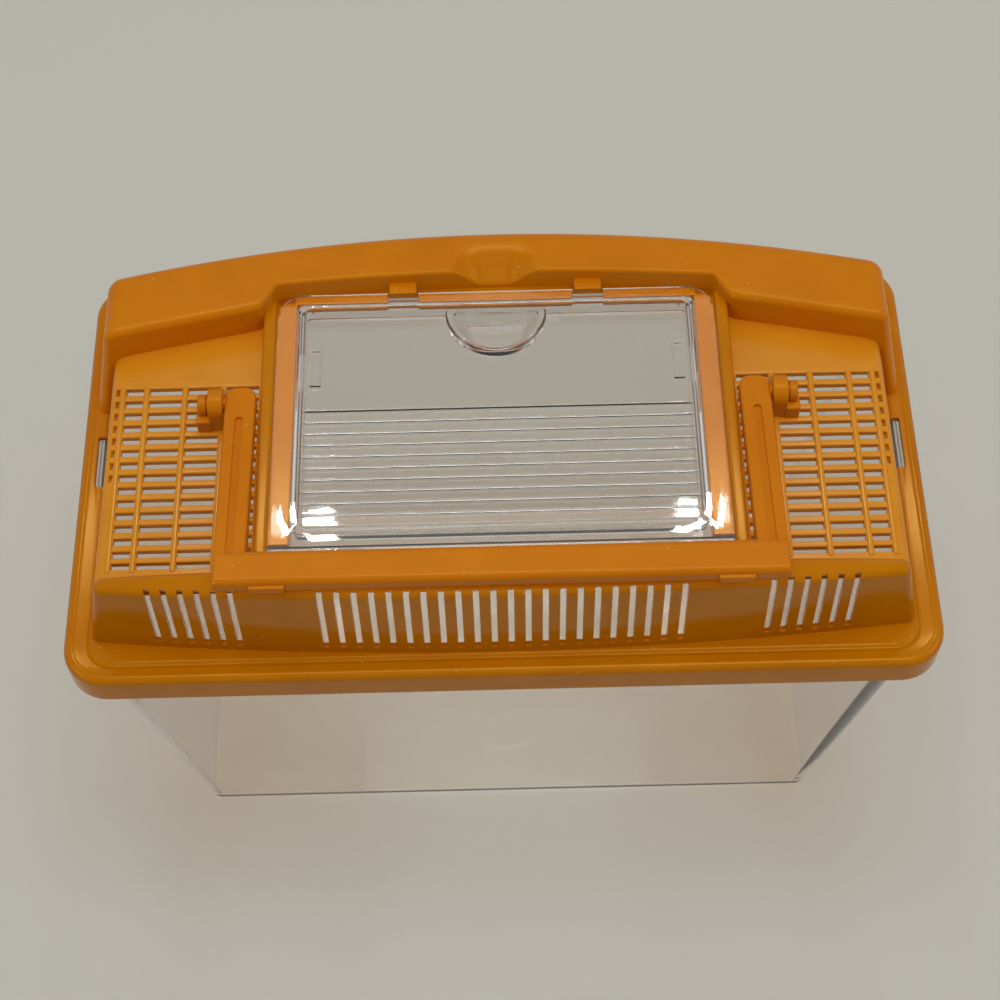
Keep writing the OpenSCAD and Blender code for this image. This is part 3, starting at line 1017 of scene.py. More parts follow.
@dataclass
class Tank(SubAssembly):
    """The clear tapered tank: one shell with a rounded foot and a rim."""

    base: Pair = (98.0, 54.0)
    mouth: Pair = (117.6, 65.4)
    height: float = 117.8
    wall: float = 2.0
    floor: float = 2.4
    base_corner: float = 4.2
    mouth_corner: float = 12.0
    foot_round: float = 3.0
    rim_out: float = 0.6
    rim_h: float = 3.0
    inner_round: float = 1.0

    def _ring(self, z: float, inset: float) -> list[Vector]:
        """The tank's outline at a height.

        Args:
            z: The height.
            inset: How far it is moved in.

        Returns:
            Its points.
        """
        share = max(0.0, z - self.foot_round) / (self.height - self.foot_round)
        half = self.base[0] + (self.mouth[0] - self.base[0]) * share - inset
        side = self.base[1] + (self.mouth[1] - self.base[1]) * share - inset
        corner = self.base_corner + (self.mouth_corner - self.base_corner) * share
        return Outline(half, -side, side, max(1.2, corner - 0.6 * inset)).ring(z)

    def build(self) -> None:
        """Models the shell and dresses it."""
        top, out = self.height, self.rim_out
        turns = [math.radians(a) for a in (0, 22, 45, 68, 90)]
        r = self.foot_round
        rings = [self._ring(r - r * math.sin(t), r * (1 - math.cos(t))) for t in reversed(turns)]
        rings += [
            self._ring(top - self.rim_h - 0.5, 0),
            self._ring(top - self.rim_h - 0.1, -out + 0.15),
            self._ring(top - self.rim_h + 0.2, -out),
            self._ring(top - 0.5, -out),
            self._ring(top - 0.12, 0.15 - out),
            self._ring(top, 0.5 - out),
            self._ring(top, self.wall - 0.4),
            self._ring(top - 0.15, self.wall - 0.1),
            self._ring(top - 0.5, self.wall),
        ]
        inner = self.inner_round
        foot = self.floor + inner
        rings += [
            self._ring(foot - inner * math.sin(t), self.wall + inner * (1 - math.cos(t)))
            for t in turns
        ]
        Moulding("tank_shell").loft(rings).done(Body.TANK, self.palette.tank)


@dataclass
class LidFlange(SubAssembly):
    """The lid's skirt and flange: beaded edge, soft groove and snap openings."""

    half: float = 122.4
    side: float = 68.5
    corner: float = 12.0
    skirt_z: float = 109.5
    skirt_t: float = 2.2
    under: float = 118.0
    wall: float = 2.0
    mouth_corner: float = 4.0
    slot_x: Pair = (115.0, 118.0)
    slot_y: Pair = (-5.0, 12.0)
    nose_x: Pair = (118.5, 121.3)
    nose_y: Pair = (-3.0, 14.0)
    nose_h: float = 3.0

    def _ring(self, inset: float, z: float, more: float = 0.0) -> list[Vector]:
        """The flange's outline at a height.

        Args:
            inset: How far it is moved in.
            z: The height.
            more: How much further its ends are moved in.

        Returns:
            Its points.
        """
        side = self.side - inset
        corner = max(2.4, self.corner - 0.85 * inset)
        return Outline(self.half - inset - more, -side, side, corner).ring(z)

    def build(self) -> None:
        """Models the flange and the snap noses."""
        plan = self.plan
        top = plan.flange
        profile = [
            (0.4, self.skirt_z, 0.0), (0.1, self.skirt_z + 0.15, 0.0),
            (0.0, self.skirt_z + 0.5, 0.0), (0.0, top - 2.1, 0.0),
            (0.18, top - 1.25, 0.0), (0.65, top - 0.55, 0.0), (1.3, top - 0.15, 0.0),
            (2.0, top, 0.0), (2.7, top - 0.12, 0.0), (3.3, top - 0.28, 0.3),
            (4.2, top - 0.3, 1.6), (4.6, top - 0.42, 1.9), (5.0, top - 0.7, 2.1),
            (5.4, top - 0.78, 2.1), (5.8, top - 0.7, 2.1), (6.3, top - 0.36, 2.1),
            (6.8, top - 0.3, 2.0),
        ]
        rings = [self._ring(d, z, more) for d, z, more in profile]
        mouth = Outline(
            plan.half - self.wall, plan.front + self.wall, plan.rear - self.wall,
            self.mouth_corner, plan.front_bow, plan.rear_bow,
        )
        rings += [mouth.ring(top - 0.3), mouth.ring(self.under)]
        rings += [
            self._ring(self.skirt_t + 0.6, self.under),
            self._ring(self.skirt_t, self.under - 0.6),
            self._ring(self.skirt_t, self.skirt_z + 0.3),
            self._ring(self.skirt_t - 0.3, self.skirt_z),
        ]
        flange = Moulding("lid_flange").loft(rings, hollow=True)
        y0, y1 = self.slot_y
        for side in (-1, 1):
            lo, hi = sorted(side * x for x in self.slot_x)
            cutter = Moulding("cutter").block((lo, y0, self.under - 2), (hi, y1, top + 2))
            cutter.round_off(lambda e: along(e).z > 0.9, 0.5)
            flange.combine(cutter, "DIFFERENCE")
        flange.done(Body.LID, self.palette.gloss)
        x0, x1 = self.nose_x
        y0, y1 = self.nose_y
        low = self.skirt_z
        nose = Moulding("snap_nose_right").block((x0, y0, low), (x1, y1, low + self.nose_h))
        nose.round_off(lambda e: mid(e).x < x0 + 0.1 and along(e).y > 0.9, 1.1, 4)
        nose.round_off(lambda e: folded(e), 0.25, 2)
        nose.pair("snap_nose_left", Body.LID, self.palette.gloss)


@dataclass
class Ridge(SubAssembly):
    """The hollow ridge across the lid's back, with its finger scoop."""

    depth: float = 36.0
    plan_round: float = 3.6
    front_round: float = 3.0
    edge_round: float = 3.0
    foot_lead: float = 4.0
    top_lead: float = 0.7
    scoop: float = 6.4
    scoop_half: float = 12.8
    scoop_flat: float = 3.4
    scoop_run: float = 10.5
    wall: float = 2.0
    open_half: float = 110.4
    end_from: float = 108.0
    end_run: float = 5.0
    crisp: Pair = (0.22, 0.46)

    def build(self) -> None:
        """Models the ridge from a rounded block that is cut, then bent."""
        plan = self.plan
        half, top = plan.ridge_half, plan.ridge_top
        ridge = Moulding("lid_ridge").block((-half, 0, plan.foot), (half, self.depth, top))
        ridge.remove(lambda f: f.normal.z < -0.9)
        ridge.round_off(lambda e: along(e).z > 0.9 and mid(e).y > 1, self.plan_round, 8)
        ridge.round_off(lambda e: along(e).z > 0.9 and mid(e).y < 1, self.front_round, 6)
        ridge.round_off(lambda e: mid(e).z > top - 0.01 and folded(e), self.edge_round, 6)
        scoop, jog = spread(-16, 16, 24), spread(60, 68.5, 17)
        outer = spread(20, 56, 9) + jog + spread(72, 108, 9) + [self.open_half]
        ridge.slice_at(0, scoop + outer + [-x for x in outer])
        ridge.slice_at(1, [4, 5, 6.2, 7.5, 9, 10.5, 12, 14, 16.5, 19, 22, 26, 30])
        ridge.slice_at(2, [plan.inside, plan.panel])
        ridge.remove(
            lambda f: f.normal.y < -0.7 and mid(f).z < plan.inside
            and abs(mid(f).x) < self.open_half
        )
        ridge.bend(self._bent)
        ridge.thicken(self.wall)
        ridge.done(Body.LID, self.palette.ridge, 40)

    def _bent(self, p: Vector) -> Vector:
        """The bent ridge's place for a point of the straight block.

        Args:
            p: The point.

        Returns:
            Its place.
        """
        plan = self.plan
        rise = p.z - plan.flange
        shrink = rise * math.tan(math.radians(plan.ridge_lean))
        x = p.x * (plan.ridge_half - shrink) / plan.ridge_half
        out = eased((abs(x) - self.end_from) / self.end_run)
        fall = (plan.ridge_top - p.z) / (plan.ridge_top - plan.flange)
        bay = eased((plan.bay_half + 3.5 - abs(x)) / 4.5)
        front = plan.ridge_front_at(x) - self.foot_lead * out * fall
        above = max(0.0, p.z - plan.panel) / (plan.ridge_top - plan.panel)
        front -= self.top_lead * (1 - bay) * above
        rear = plan.rear_at(x) - rise * math.tan(math.radians(plan.rear_lean))
        keep = self.edge_round + 0.2
        if p.y <= keep:
            y = front + p.y
        elif p.y >= self.depth - keep:
            y = rear - (self.depth - p.y)
        else:
            share = (p.y - keep) / (self.depth - 2 * keep)
            y = (front + keep) * (1 - share) + (rear - keep) * share
        z = p.z
        reach = eased((self.scoop_half - abs(x)) / (self.scoop_half - self.scoop_flat))
        low = plan.ridge_top - self.edge_round
        if p.y < keep and z > low:
            crisp = self.crisp[0] + self.crisp[1] * bay
            y -= p.y * crisp
            z += (plan.ridge_top - z) * crisp
        if reach and z > plan.panel:
            back = max(0.0, y - front) / self.scoop_run
            dip = self.scoop * reach * (1 - eased(0.15 + 0.85 * back))
            z -= dip * min(1.0, (z - plan.panel) / (low - plan.panel))
        return Vector((x, y, z))


@dataclass
class FrontWall(SubAssembly):
    """The slotted front wall with the rounded band on its top."""

    slots: int = 22
    pitch: float = 4.64
    end_slots: int = 6
    end_pitch: float = 4.5
    end_x: float = 72.5
    width: float = 1.6
    thick: float = 1.6
    front_round: float = 2.2
    back_round: float = 2.2
    end_round: float = 2.15
    wall_v: float = 27.5
    top_v: float = 8.0
    drop_v: float = 8.5
    slot_low: float = 2.7
    slot_over: float = 2.6
    edge: float = 0.28
    edge_x: float = 97.0
    lean_from: float = 96.5
    lean_run: float = 14.0

    def _section(self, x: float, v: float) -> tuple[Vector, Vector]:
        """A point of the wall's profile.

        Args:
            x: The place along the lid's length.
            v: The way up and over the profile from the wall's foot.

        Returns:
            The point, and which way is outwards there.
        """
        plan = self.plan
        lean = math.radians(plan.front_lean)
        top, foot = plan.top_at(x), plan.front_at(x)
        r, q = self.front_round, self.back_round
        low = top - r + r * math.sin(lean)
        arc = r * (math.pi / 2 - lean)
        turn_y = foot + (low - plan.flange) * math.tan(lean) + r * math.cos(lean)
        back_y, back_z = plan.band_back - q, top - q
        if v <= self.wall_v:
            z = plan.foot + (low - plan.foot) * v / self.wall_v
            y = foot + (z - plan.flange) * math.tan(lean)
            return Vector((0, y, z)), Vector((0, -math.cos(lean), math.sin(lean)))
        v -= self.wall_v
        if v <= arc:
            out = Vector((0, -math.cos(lean + v / r), math.sin(lean + v / r)))
            return Vector((0, turn_y, top - r)) + out * r, out
        v -= arc
        if v <= self.top_v:
            y = turn_y + (back_y - turn_y) * v / self.top_v
            return Vector((0, y, top)), Vector((0, 0, 1))
        v -= self.top_v
        if v <= q * math.pi / 2:
            out = Vector((0, math.sin(v / q), math.cos(v / q)))
            return Vector((0, back_y, back_z)) + out * q, out
        v = min(self.drop_v, v - q * math.pi / 2)
        z = back_z + (plan.inside - back_z) * v / self.drop_v
        return Vector((0, plan.band_back, z)), Vector((0, 1, 0))

    def _lines(self) -> tuple[list[float], list[float]]:
        """The lines of the flat sheet.

        Returns:
            Their places along the lid and along the profile.
        """
        r, q = self.front_round, self.back_round
        arc = r * (math.pi / 2 - math.radians(self.plan.front_lean))
        us = []
        for centre in self._centres():
            us += [centre - self.width / 2, centre + self.width / 2]
        us += spread(52.5, 69, 4) + [98.5, 102, 105.5, 109]
        turn = self.end_round * math.pi / 2
        end = self.plan.half - self.end_round
        us += spread(end, end + turn, 6)
        us = sorted(us + [-u for u in us])
        last = self.wall_v + arc
        vs = [0, self.slot_low, 15, self.wall_v] + spread(self.wall_v, last, 7)[1:]
        vs.append(self.wall_v + self.slot_over)
        vs += [last + 2.5, last + self.top_v]
        last += self.top_v
        vs += spread(last, last + q * math.pi / 2, 5)[1:]
        vs.append(last + q * math.pi / 2 + self.drop_v)
        return us, sorted(vs)

    def _centres(self) -> list[float]:
        """The slots' middles on the right half."""
        middle = [self.pitch * (i + 0.5) for i in range(self.slots // 2)]
        return middle + [self.end_x + self.end_pitch * i for i in range(self.end_slots)]

    def _bent(self, p: Vector) -> Vector:
        """The bent wall's place for a point of the flat sheet.

        Args:
            p: The point.

        Returns:
            Its place.
        """
        plan = self.plan
        side = 1 if p.x > 0 else -1
        end, r = plan.half - self.end_round, self.end_round
        x, depth = p.x, -p.z
        if abs(p.x) > end:
            turn = (abs(p.x) - end) / r
            x = side * (end + (r - depth) * math.sin(turn))
            depth = r - (r - depth) * math.cos(turn)
        at = side * min(abs(p.x), end)
        point, out = self._section(at, p.y)
        point = point - out * depth
        share = min(1.0, max(0.0, (abs(x) - self.lean_from) / self.lean_run))
        rise = max(0.0, point.z - plan.flange)
        x -= side * rise * math.tan(math.radians(plan.end_lean)) * share
        return Vector((x, point.y, point.z))

    def build(self) -> None:
        """Models the wall flat, with its slots, then bends it."""
        us, vs = self._lines()
        centres = [side * c for side in (-1, 1) for c in self._centres()]
        low, top = self.slot_low, self.wall_v + self.slot_over

        def is_slot(u: float, v: float) -> bool:
            """Tells whether a cell belongs to a slot."""
            near = min(abs(u - c) for c in centres)
            return near < self.width / 2 and low < v < top

        wall = lattice("lid_front_wall", us, vs, is_slot)
        wall.thicken(self.thick)
        wall.round_off(
            lambda e: mid(e).z > -0.01 and folded(e) and abs(mid(e).x) < self.edge_x
            and low - 0.2 < mid(e).y < top + 0.2,
            self.edge, 2,
        )
        wall.bend(self._bent)
        wall.done(Body.LID, self.palette.gloss, 30)
        self._cheek("band_end_right").pair("band_end_left", Body.LID, self.palette.gloss)

    def _cheek(self, name: str) -> Moulding:
        """The face that closes the band's right end.

        Args:
            name: Its name.

        Returns:
            The piece.
        """
        plan, r = self.plan, self.end_round
        _, vs = self._lines()
        loops = []
        for back in (0.0, self.thick):
            loop = []
            for v in vs:
                point, out = self._section(plan.half - r, v)
                point = point - out * (r - 0.01)
                rise = max(0.0, point.z - plan.flange)
                lean = rise * math.tan(math.radians(plan.end_lean))
                loop.append(Vector((plan.half - lean - back, point.y, point.z)))
            loops.append(loop)
        return Moulding(name).loft(loops)


@dataclass
class Grille(SubAssembly):
    """One side's ventilated panel with its rounded shoulder and end wall."""

    rows: int = 15
    pitch: float = 4.1
    gap: float = 2.2
    first: float = 13.3
    columns: tuple[Pair, ...] = (
        (68.3, 77.4), (79.3, 88.4), (90.3, 99.4), (101.3, 106.2), (108.1, 109.4),
    )
    edge_rows: int = 8
    start: float = 66.6
    shoulder: float = 2.5
    thick: float = 1.8
    rib_up: float = 0.35
    back: Pair = (16.0, 36.0)
    front: Pair = (-53.0, -40.0)
    end_x: float = 109.5
    tuck: float = 1.2
    edge: float = 0.5
    edge_x: Pair = (68.0, 109.6)
    edge_y: Pair = (-45.5, 14.6)

    def _turn(self) -> tuple[float, float, float]:
        """The shoulder, where the panel turns down into the end wall.

        Returns:
            Where it starts, its angle and its length.
        """
        angle = math.radians(90 - self.plan.end_lean)
        edge = self.plan.end_at(self.plan.panel) - 0.05
        return (edge - self.shoulder * math.tan(angle / 2), angle, self.shoulder * angle)

    def _bent(self, p: Vector) -> Vector:
        """The bent panel's place for a point of the flat sheet.

        Args:
            p: The point.

        Returns:
            Its place.
        """
        plan = self.plan
        start, angle, length = self._turn()
        r, depth = self.shoulder, -p.z
        x, z = p.x, plan.panel - depth
        beyond = p.x - start
        if beyond > 0:
            turn = min(angle, beyond / r)
            x = start + (r - depth) * math.sin(turn)
            z = plan.panel - r + (r - depth) * math.cos(turn)
        if beyond > length:
            down = beyond - length
            lean = math.radians(plan.end_lean)
            x += down * math.sin(lean)
            z -= down * math.cos(lean)
        y = p.y
        low, high = self.back
        if y > low:
            edge = plan.ridge_front_at(min(x, self.end_x)) + self.tuck
            y = low + (y - low) * (edge - low) / (high - low)
        low, high = self.front
        if y < high:
            share = min(1.0, (high - y) / (high - low))
            y += share * max(0.0, z - plan.flange) * math.tan(math.radians(plan.front_lean))
        return Vector((x, y, z))

    def build(self) -> None:
        """Models the right panel flat, bends it and copies it to the left."""
        plan = self.plan
        start, _, length = self._turn()
        us = [self.start] + [x for pair in self.columns for x in pair]
        us += spread(start, start + length, 7)
        us += [start + length + s for s in (7.0, 14.0, 20.2)]
        us = sorted({round(u, 3) for u in us})
        middles = [self.first - self.pitch * i for i in range(self.rows)]
        vs = [-53.2, -49.4] + [m + s * self.gap / 2 for m in middles for s in (-1, 1)]
        vs += spread(*self.back, 5)

        def is_open(u: float, v: float) -> bool:
            """Tells whether a cell belongs to an opening.

            Args:
                u: The cell's middle along the lid.
                v: The cell's middle from front to back.

            Returns:
                Whether it is open.
            """
            row = next((i for i, m in enumerate(middles) if abs(v - m) < self.gap / 2), None)
            if row is None:
                return False
            columns = self.columns if row < self.edge_rows else self.columns[:-1]
            return any(a < u < b for a, b in columns)

        panel = lattice("grille_right", us, sorted(vs), is_open)
        panel.thicken(self.thick)
        (x0, x1), (y0, y1) = self.edge_x, self.edge_y
        panel.round_off(
            lambda e: mid(e).z > -0.01 and folded(e) and x0 < mid(e).x < x1
            and y0 < mid(e).y < y1,
            self.edge, 3,
        )
        panel.bend(self._bent)
        low, high = middles[-1] - self.gap / 2 - 0.4, middles[0] + self.gap / 2 + 0.4
        for near, far in zip(self.columns[:-1], self.columns[1:]):
            rib = Moulding("rib").block(
                (near[1] + 0.2, low, plan.panel - 1.2),
                (far[0] - 0.2, high, plan.panel + self.rib_up),
            )
            rib.round_off(lambda e: mid(e).z > plan.panel and folded(e), 0.45, 3)
            panel.join(rib)
        panel.pair("grille_left", Body.LID, self.palette.panel, 40)


@dataclass
class HatchSeat(SubAssembly):
    """The frame round the hatch: rails, sill, ledges, hinge sockets and hooks."""

    inner: float = 63.3
    outer: float = 67.0
    ledge: float = 57.5
    top: float = 147.4
    seat: float = 145.2
    under: float = 139.2
    pivot: Pair = (-43.5, 145.3)
    bore: float = 1.16
    front: float = -49.6
    sill_back: float = -46.3
    rail_back: float = 39.4
    ledge_y: Pair = (-40.7, 42.5)
    overlap: float = 0.2
    hook_x: float = 26.8
    hook_half: float = 4.0
    hook_y: Pair = (40.1, 47.4)
    hook_z: Pair = (147.6, 149.1)
    window: float = 4.5
    window_back: float = 45.0
    shelf: float = 2.0

    def build(self) -> None:
        """Models the rails, ledges and hooks."""
        low, front, side = self.under, self.front, self.inner + self.overlap
        rail = Moulding("hatch_rail_right").block(
            (self.inner, front, low), (self.outer, self.rail_back, self.top)
        )
        rail.round_off(lambda e: mid(e).z > self.top - 0.1 and along(e).y > 0.9, 0.9, 4)
        y, z = self.pivot
        rail.combine(Moulding("bore").rod((self.inner - 1, y, z), self.bore, 3.5), "DIFFERENCE")
        y0, y1 = self.ledge_y
        ledge = Moulding("ledge").block((self.ledge, y0, low), (side, y1, self.seat))
        ledge.round_off(lambda e: along(e).y > 0.9 and mid(e).x < self.ledge + 0.1, 0.5)
        rail.join(ledge)
        rail.pair("hatch_rail_left", Body.LID, self.palette.gloss)
        xs = [self.hook_x + s * self.window for s in (-1, 1)]
        xs = sorted(xs + [-x for x in xs] + [-side, side, 0, 45, -45])
        back = lattice(
            "hatch_back_ledge", xs, [39.2, 41.0, self.window_back, 48.0],
            lambda u, v: abs(abs(u) - self.hook_x) < self.window and v < self.window_back,
        )
        back.thicken(self.shelf)
        back.bend(lambda p: Vector((p.x, p.y, p.z + self.seat)))
        back.round_off(lambda e: folded(e) and mid(e).z > self.seat - 0.1, 0.3, 2)
        back.done(Body.LID, self.palette.gloss)
        sill = Moulding("hatch_sill")
        sill.block((-side, front, low), (side, self.sill_back, self.seat))
        sill.round_off(lambda e: folded(e) and mid(e).z > self.seat - 0.1, 0.5)
        sill.done(Body.LID, self.palette.gloss)
        x0, x1 = self.hook_x - self.hook_half, self.hook_x + self.hook_half
        (y0, y1), (z0, z1) = self.hook_y, self.hook_z
        hook = Moulding("hatch_hook_right").block((x0, y0, z0), (x1, y1, z1))
        hook.round_off(lambda e: folded(e), 0.45, 3)
        hook.pair("hatch_hook_left", Body.LID, self.palette.satin)


@dataclass
class HandleEar(SubAssembly):
    """The bored upright that carries the handle's peg, with its foot."""

    near: float = 76.9
    far: float = 81.2
    foot: float = 84.9
    radius: float = 4.6
    pivot: Pair = (4.0, 147.5)
    bore: float = 2.31
    channel: float = 3.15
    foot_half: float = 4.9
    foot_top: float = 145.9

    def build(self) -> None:
        """Models the right ear and copies it to the left."""
        plan = self.plan
        y, z = self.pivot
        low, r = plan.panel - 1.0, self.radius
        turns = [math.radians(180 * i / 28) for i in range(29)]
        side = [(y + r * math.cos(t), z + r * math.sin(t)) for t in turns]
        side += [(y - r, low), (y + r, low)]
        ear = Moulding("handle_ear_right").loft(
            [[Vector((x, a, b)) for a, b in side] for x in (self.near, self.far)]
        )
        ear.round_off(lambda e: folded(e, 60) and mid(e).z > low + 1.5, 0.5, 3)
        ear.combine(Moulding("bore").rod((self.near - 1, y, z), self.bore, 8, 48), "DIFFERENCE")
        half = self.foot_half
        foot = Moulding("foot").block(
            (self.far - 0.3, y - half, low), (self.foot, y + half, self.foot_top)
        )
        foot.round_off(lambda e: folded(e) and mid(e).x > self.far, 0.6, 3)
        foot.combine(Moulding("groove").rod((self.far, y, z), self.channel, 6, 48), "DIFFERENCE")
        ear.join(foot)
        ear.pair("handle_ear_left", Body.LID, self.palette.satin)


@dataclass
class Hatch(SubAssembly):
    """The clear hatch: rim, sunk tray, ribs, pads, finger cup and pins."""

    half: float = 63.0
    front: float = -43.5
    back: float = 41.8
    low: float = 145.4
    top: float = 147.2
    corner: float = 8.0
    tray: tuple[float, float, float] = (56.5, -37.5, 38.6)
    floor: float = 142.0
    wall: float = 1.6
    ribs: int = 11
    rib_pitch: float = 3.8
    rib: float = 0.8
    cup_r: float = 12.5
    cup_floor: float = 138.6
    cup_rim: float = 143.6
    cup_y: float = 36.8
    cup_lip: float = 2.2
    pad_x: float = 52.1
    pad_half: float = 1.65
    pad_y: Pair = (12.83, 25.22)
    axis_z: float = 145.3
    barrel: float = 1.9
    pin: float = 1.1
    pin_out: float = 2.4
    notch_x: float = 26.8
    notch_half: float = 4.4
    notch_y: Pair = (39.7, 43.0)

    def _plate(self, z: float, inset: float) -> list[Vector]:
        """A ring of the rim, whose front corners are nearly square.

        Args:
            z: The height.
            inset: How far it is moved in.

        Returns:
            Its points.
        """
        corner = max(1.0, self.corner - inset)
        ring = Outline(self.half - inset, self.front + inset, self.back - inset, corner).ring(z)
        x0 = self.half - inset - corner
        y0 = self.front + inset + corner
        small = max(0.5, 1.2 - inset)
        made = []
        for p in ring:
            if p.y < y0 and abs(p.x) > x0:
                side = 1 if p.x > 0 else -1
                turn = math.atan2(y0 - p.y, abs(p.x) - x0)
                cx = self.half - inset - small
                cy = self.front + inset + small
                x, y = cx + small * math.cos(turn), cy - small * math.sin(turn)
                p = Vector((side * x, y, z))
            made.append(p)
        return made

    def _tray(self, z: float, inset: float, corner: float = 2.2) -> list[Vector]:
        """A ring of the tray, moved in by inset."""
        half, front, back = self.tray
        return Outline(half - inset, front + inset, back - inset, corner).ring(z)

    def _cup(self, name: str, shape: Sequence[Sequence[float]]) -> Moulding:
        """A half-round bowl block under the hatch's back.

        Args:
            name: The block's name.
            shape: Height, radius, middle and back of each ring, from the bottom up.

        Returns:
            The block.
        """
        rings = []
        for z, r, middle, back in shape:
            side = [math.radians(180 + 180 * i / 36) for i in range(37)]
            ring = [Vector((r * math.cos(t), middle + r * math.sin(t), z)) for t in side]
            rings.append(ring + [Vector((r, back, z)), Vector((-r, back, z))])
        return Moulding(name).loft(rings)

    def _floor_marks(self) -> Moulding:
        """The ribs and the two pads on the tray's floor.

        Returns:
            One piece that holds them all.
        """
        half, front, _ = self.tray
        reach = half - self.wall + 0.37
        marks = []
        for i in range(self.ribs):
            y = front + self.wall + 2.003 + i * self.rib_pitch
            rib = Moulding("rib").block(
                (-reach, y, self.floor - 0.53), (reach, y + self.rib, self.floor + self.rib)
            )
            rib.round_off(lambda e: mid(e).z > self.floor + 0.7 and along(e).x > 0.9, 0.3, 3)
            marks.append(rib)
        y0, y1 = self.pad_y
        for x in (-self.pad_x, self.pad_x):
            pad = Moulding("pad").block(
                (x - self.pad_half, y0, self.floor - 0.43),
                (x + self.pad_half, y1, self.floor + 0.85),
            )
            pad.press(lambda f: f.normal.z > 0.9, -0.5, 0.75)
            pad.round_off(lambda e: mid(e).z > self.floor + 0.2 and folded(e), 0.2, 2)
            marks.append(pad)
        return marks[0].join(*marks[1:])

    def build(self) -> None:
        """Models the shell, then unites its features with it."""
        w, low = self.wall, self.floor - self.wall
        rings = [
            self._tray(low, 0.8), self._tray(low + 0.25, 0.25), self._tray(low + 0.8, 0.0),
            self._tray(self.low - 0.5, 0.0), self._tray(self.low, -0.5),
            self._plate(self.low, 0.3), self._plate(self.low + 0.3, 0.0),
            self._plate(self.top - 0.6, 0.0), self._plate(self.top - 0.18, 0.18),
            self._plate(self.top, 0.6), self._tray(self.top, w - 0.5),
            self._tray(self.top - 0.15, w - 0.15), self._tray(self.top - 0.5, w, 1.6),
            self._tray(self.floor + 0.6, w, 1.6), self._tray(self.floor + 0.15, w + 0.15, 1.6),
            self._tray(self.floor, w + 0.6, 1.6),
        ]
        hatch = Moulding("feeding_hatch_shell").loft(rings)
        y, bottom, rim = self.cup_y, self.cup_floor, self.cup_rim + 0.6
        r, back = self.cup_r + self.cup_lip, self.tray[2] - 0.03
        outside = [
            (bottom - w, 8.8, y - 1.2, y + 0.2), (bottom - w + 0.4, 9.7, y - 1.0, y + 0.5),
            (bottom + 1.2, 11.7, y, back), (bottom + 2.4, r, y, back),
        ]
        edge = ((rim - 1.1, 0), (rim - 0.5, 0.2), (rim - 0.15, 0.6), (rim, 1.1))
        outside += [(z, r - less, y, back) for z, less in edge]
        hatch.combine(self._cup("cup", outside), "UNION")
        hatch.combine(self._floor_marks(), "UNION")
        for name, radius, past, sides in (
            ("barrel", self.barrel, 0.0, 48), ("pins", self.pin, self.pin_out, 32),
        ):
            start = (-self.half - past, self.front, self.axis_z)
            rod = Moulding(name).rod(start, radius, 2 * (self.half + past), sides)
            hatch.combine(rod, "UNION")
        r, back = self.cup_r, self.tray[2] - w - 0.02
        inside = [
            (bottom, 7.8, y - 2.2, y - 1.9), (bottom + 0.15, 8.4, y - 2.0, y - 1.6),
            (bottom + 0.6, 8.9, y - 1.7, y - 1.3),
        ]
        edge = ((-1.0, -0.4), (-0.5, -0.1), (-0.15, 0.4), (0.1, 1.0), (0.6, 1.0))
        inside += [(rim + up, r + out, back - 0.3, back) for up, out in edge]
        hatch.combine(self._cup("inside", inside), "DIFFERENCE")
        y0, y1 = self.notch_y
        for x in (-self.notch_x, self.notch_x):
            notch = Moulding("notch").block(
                (x - self.notch_half, y0, self.low - 1), (x + self.notch_half, y1, self.top + 1)
            )
            hatch.combine(notch, "DIFFERENCE")
        hatch.weld(0.003)
        hatch.done(Body.HATCH, self.palette.hatch)


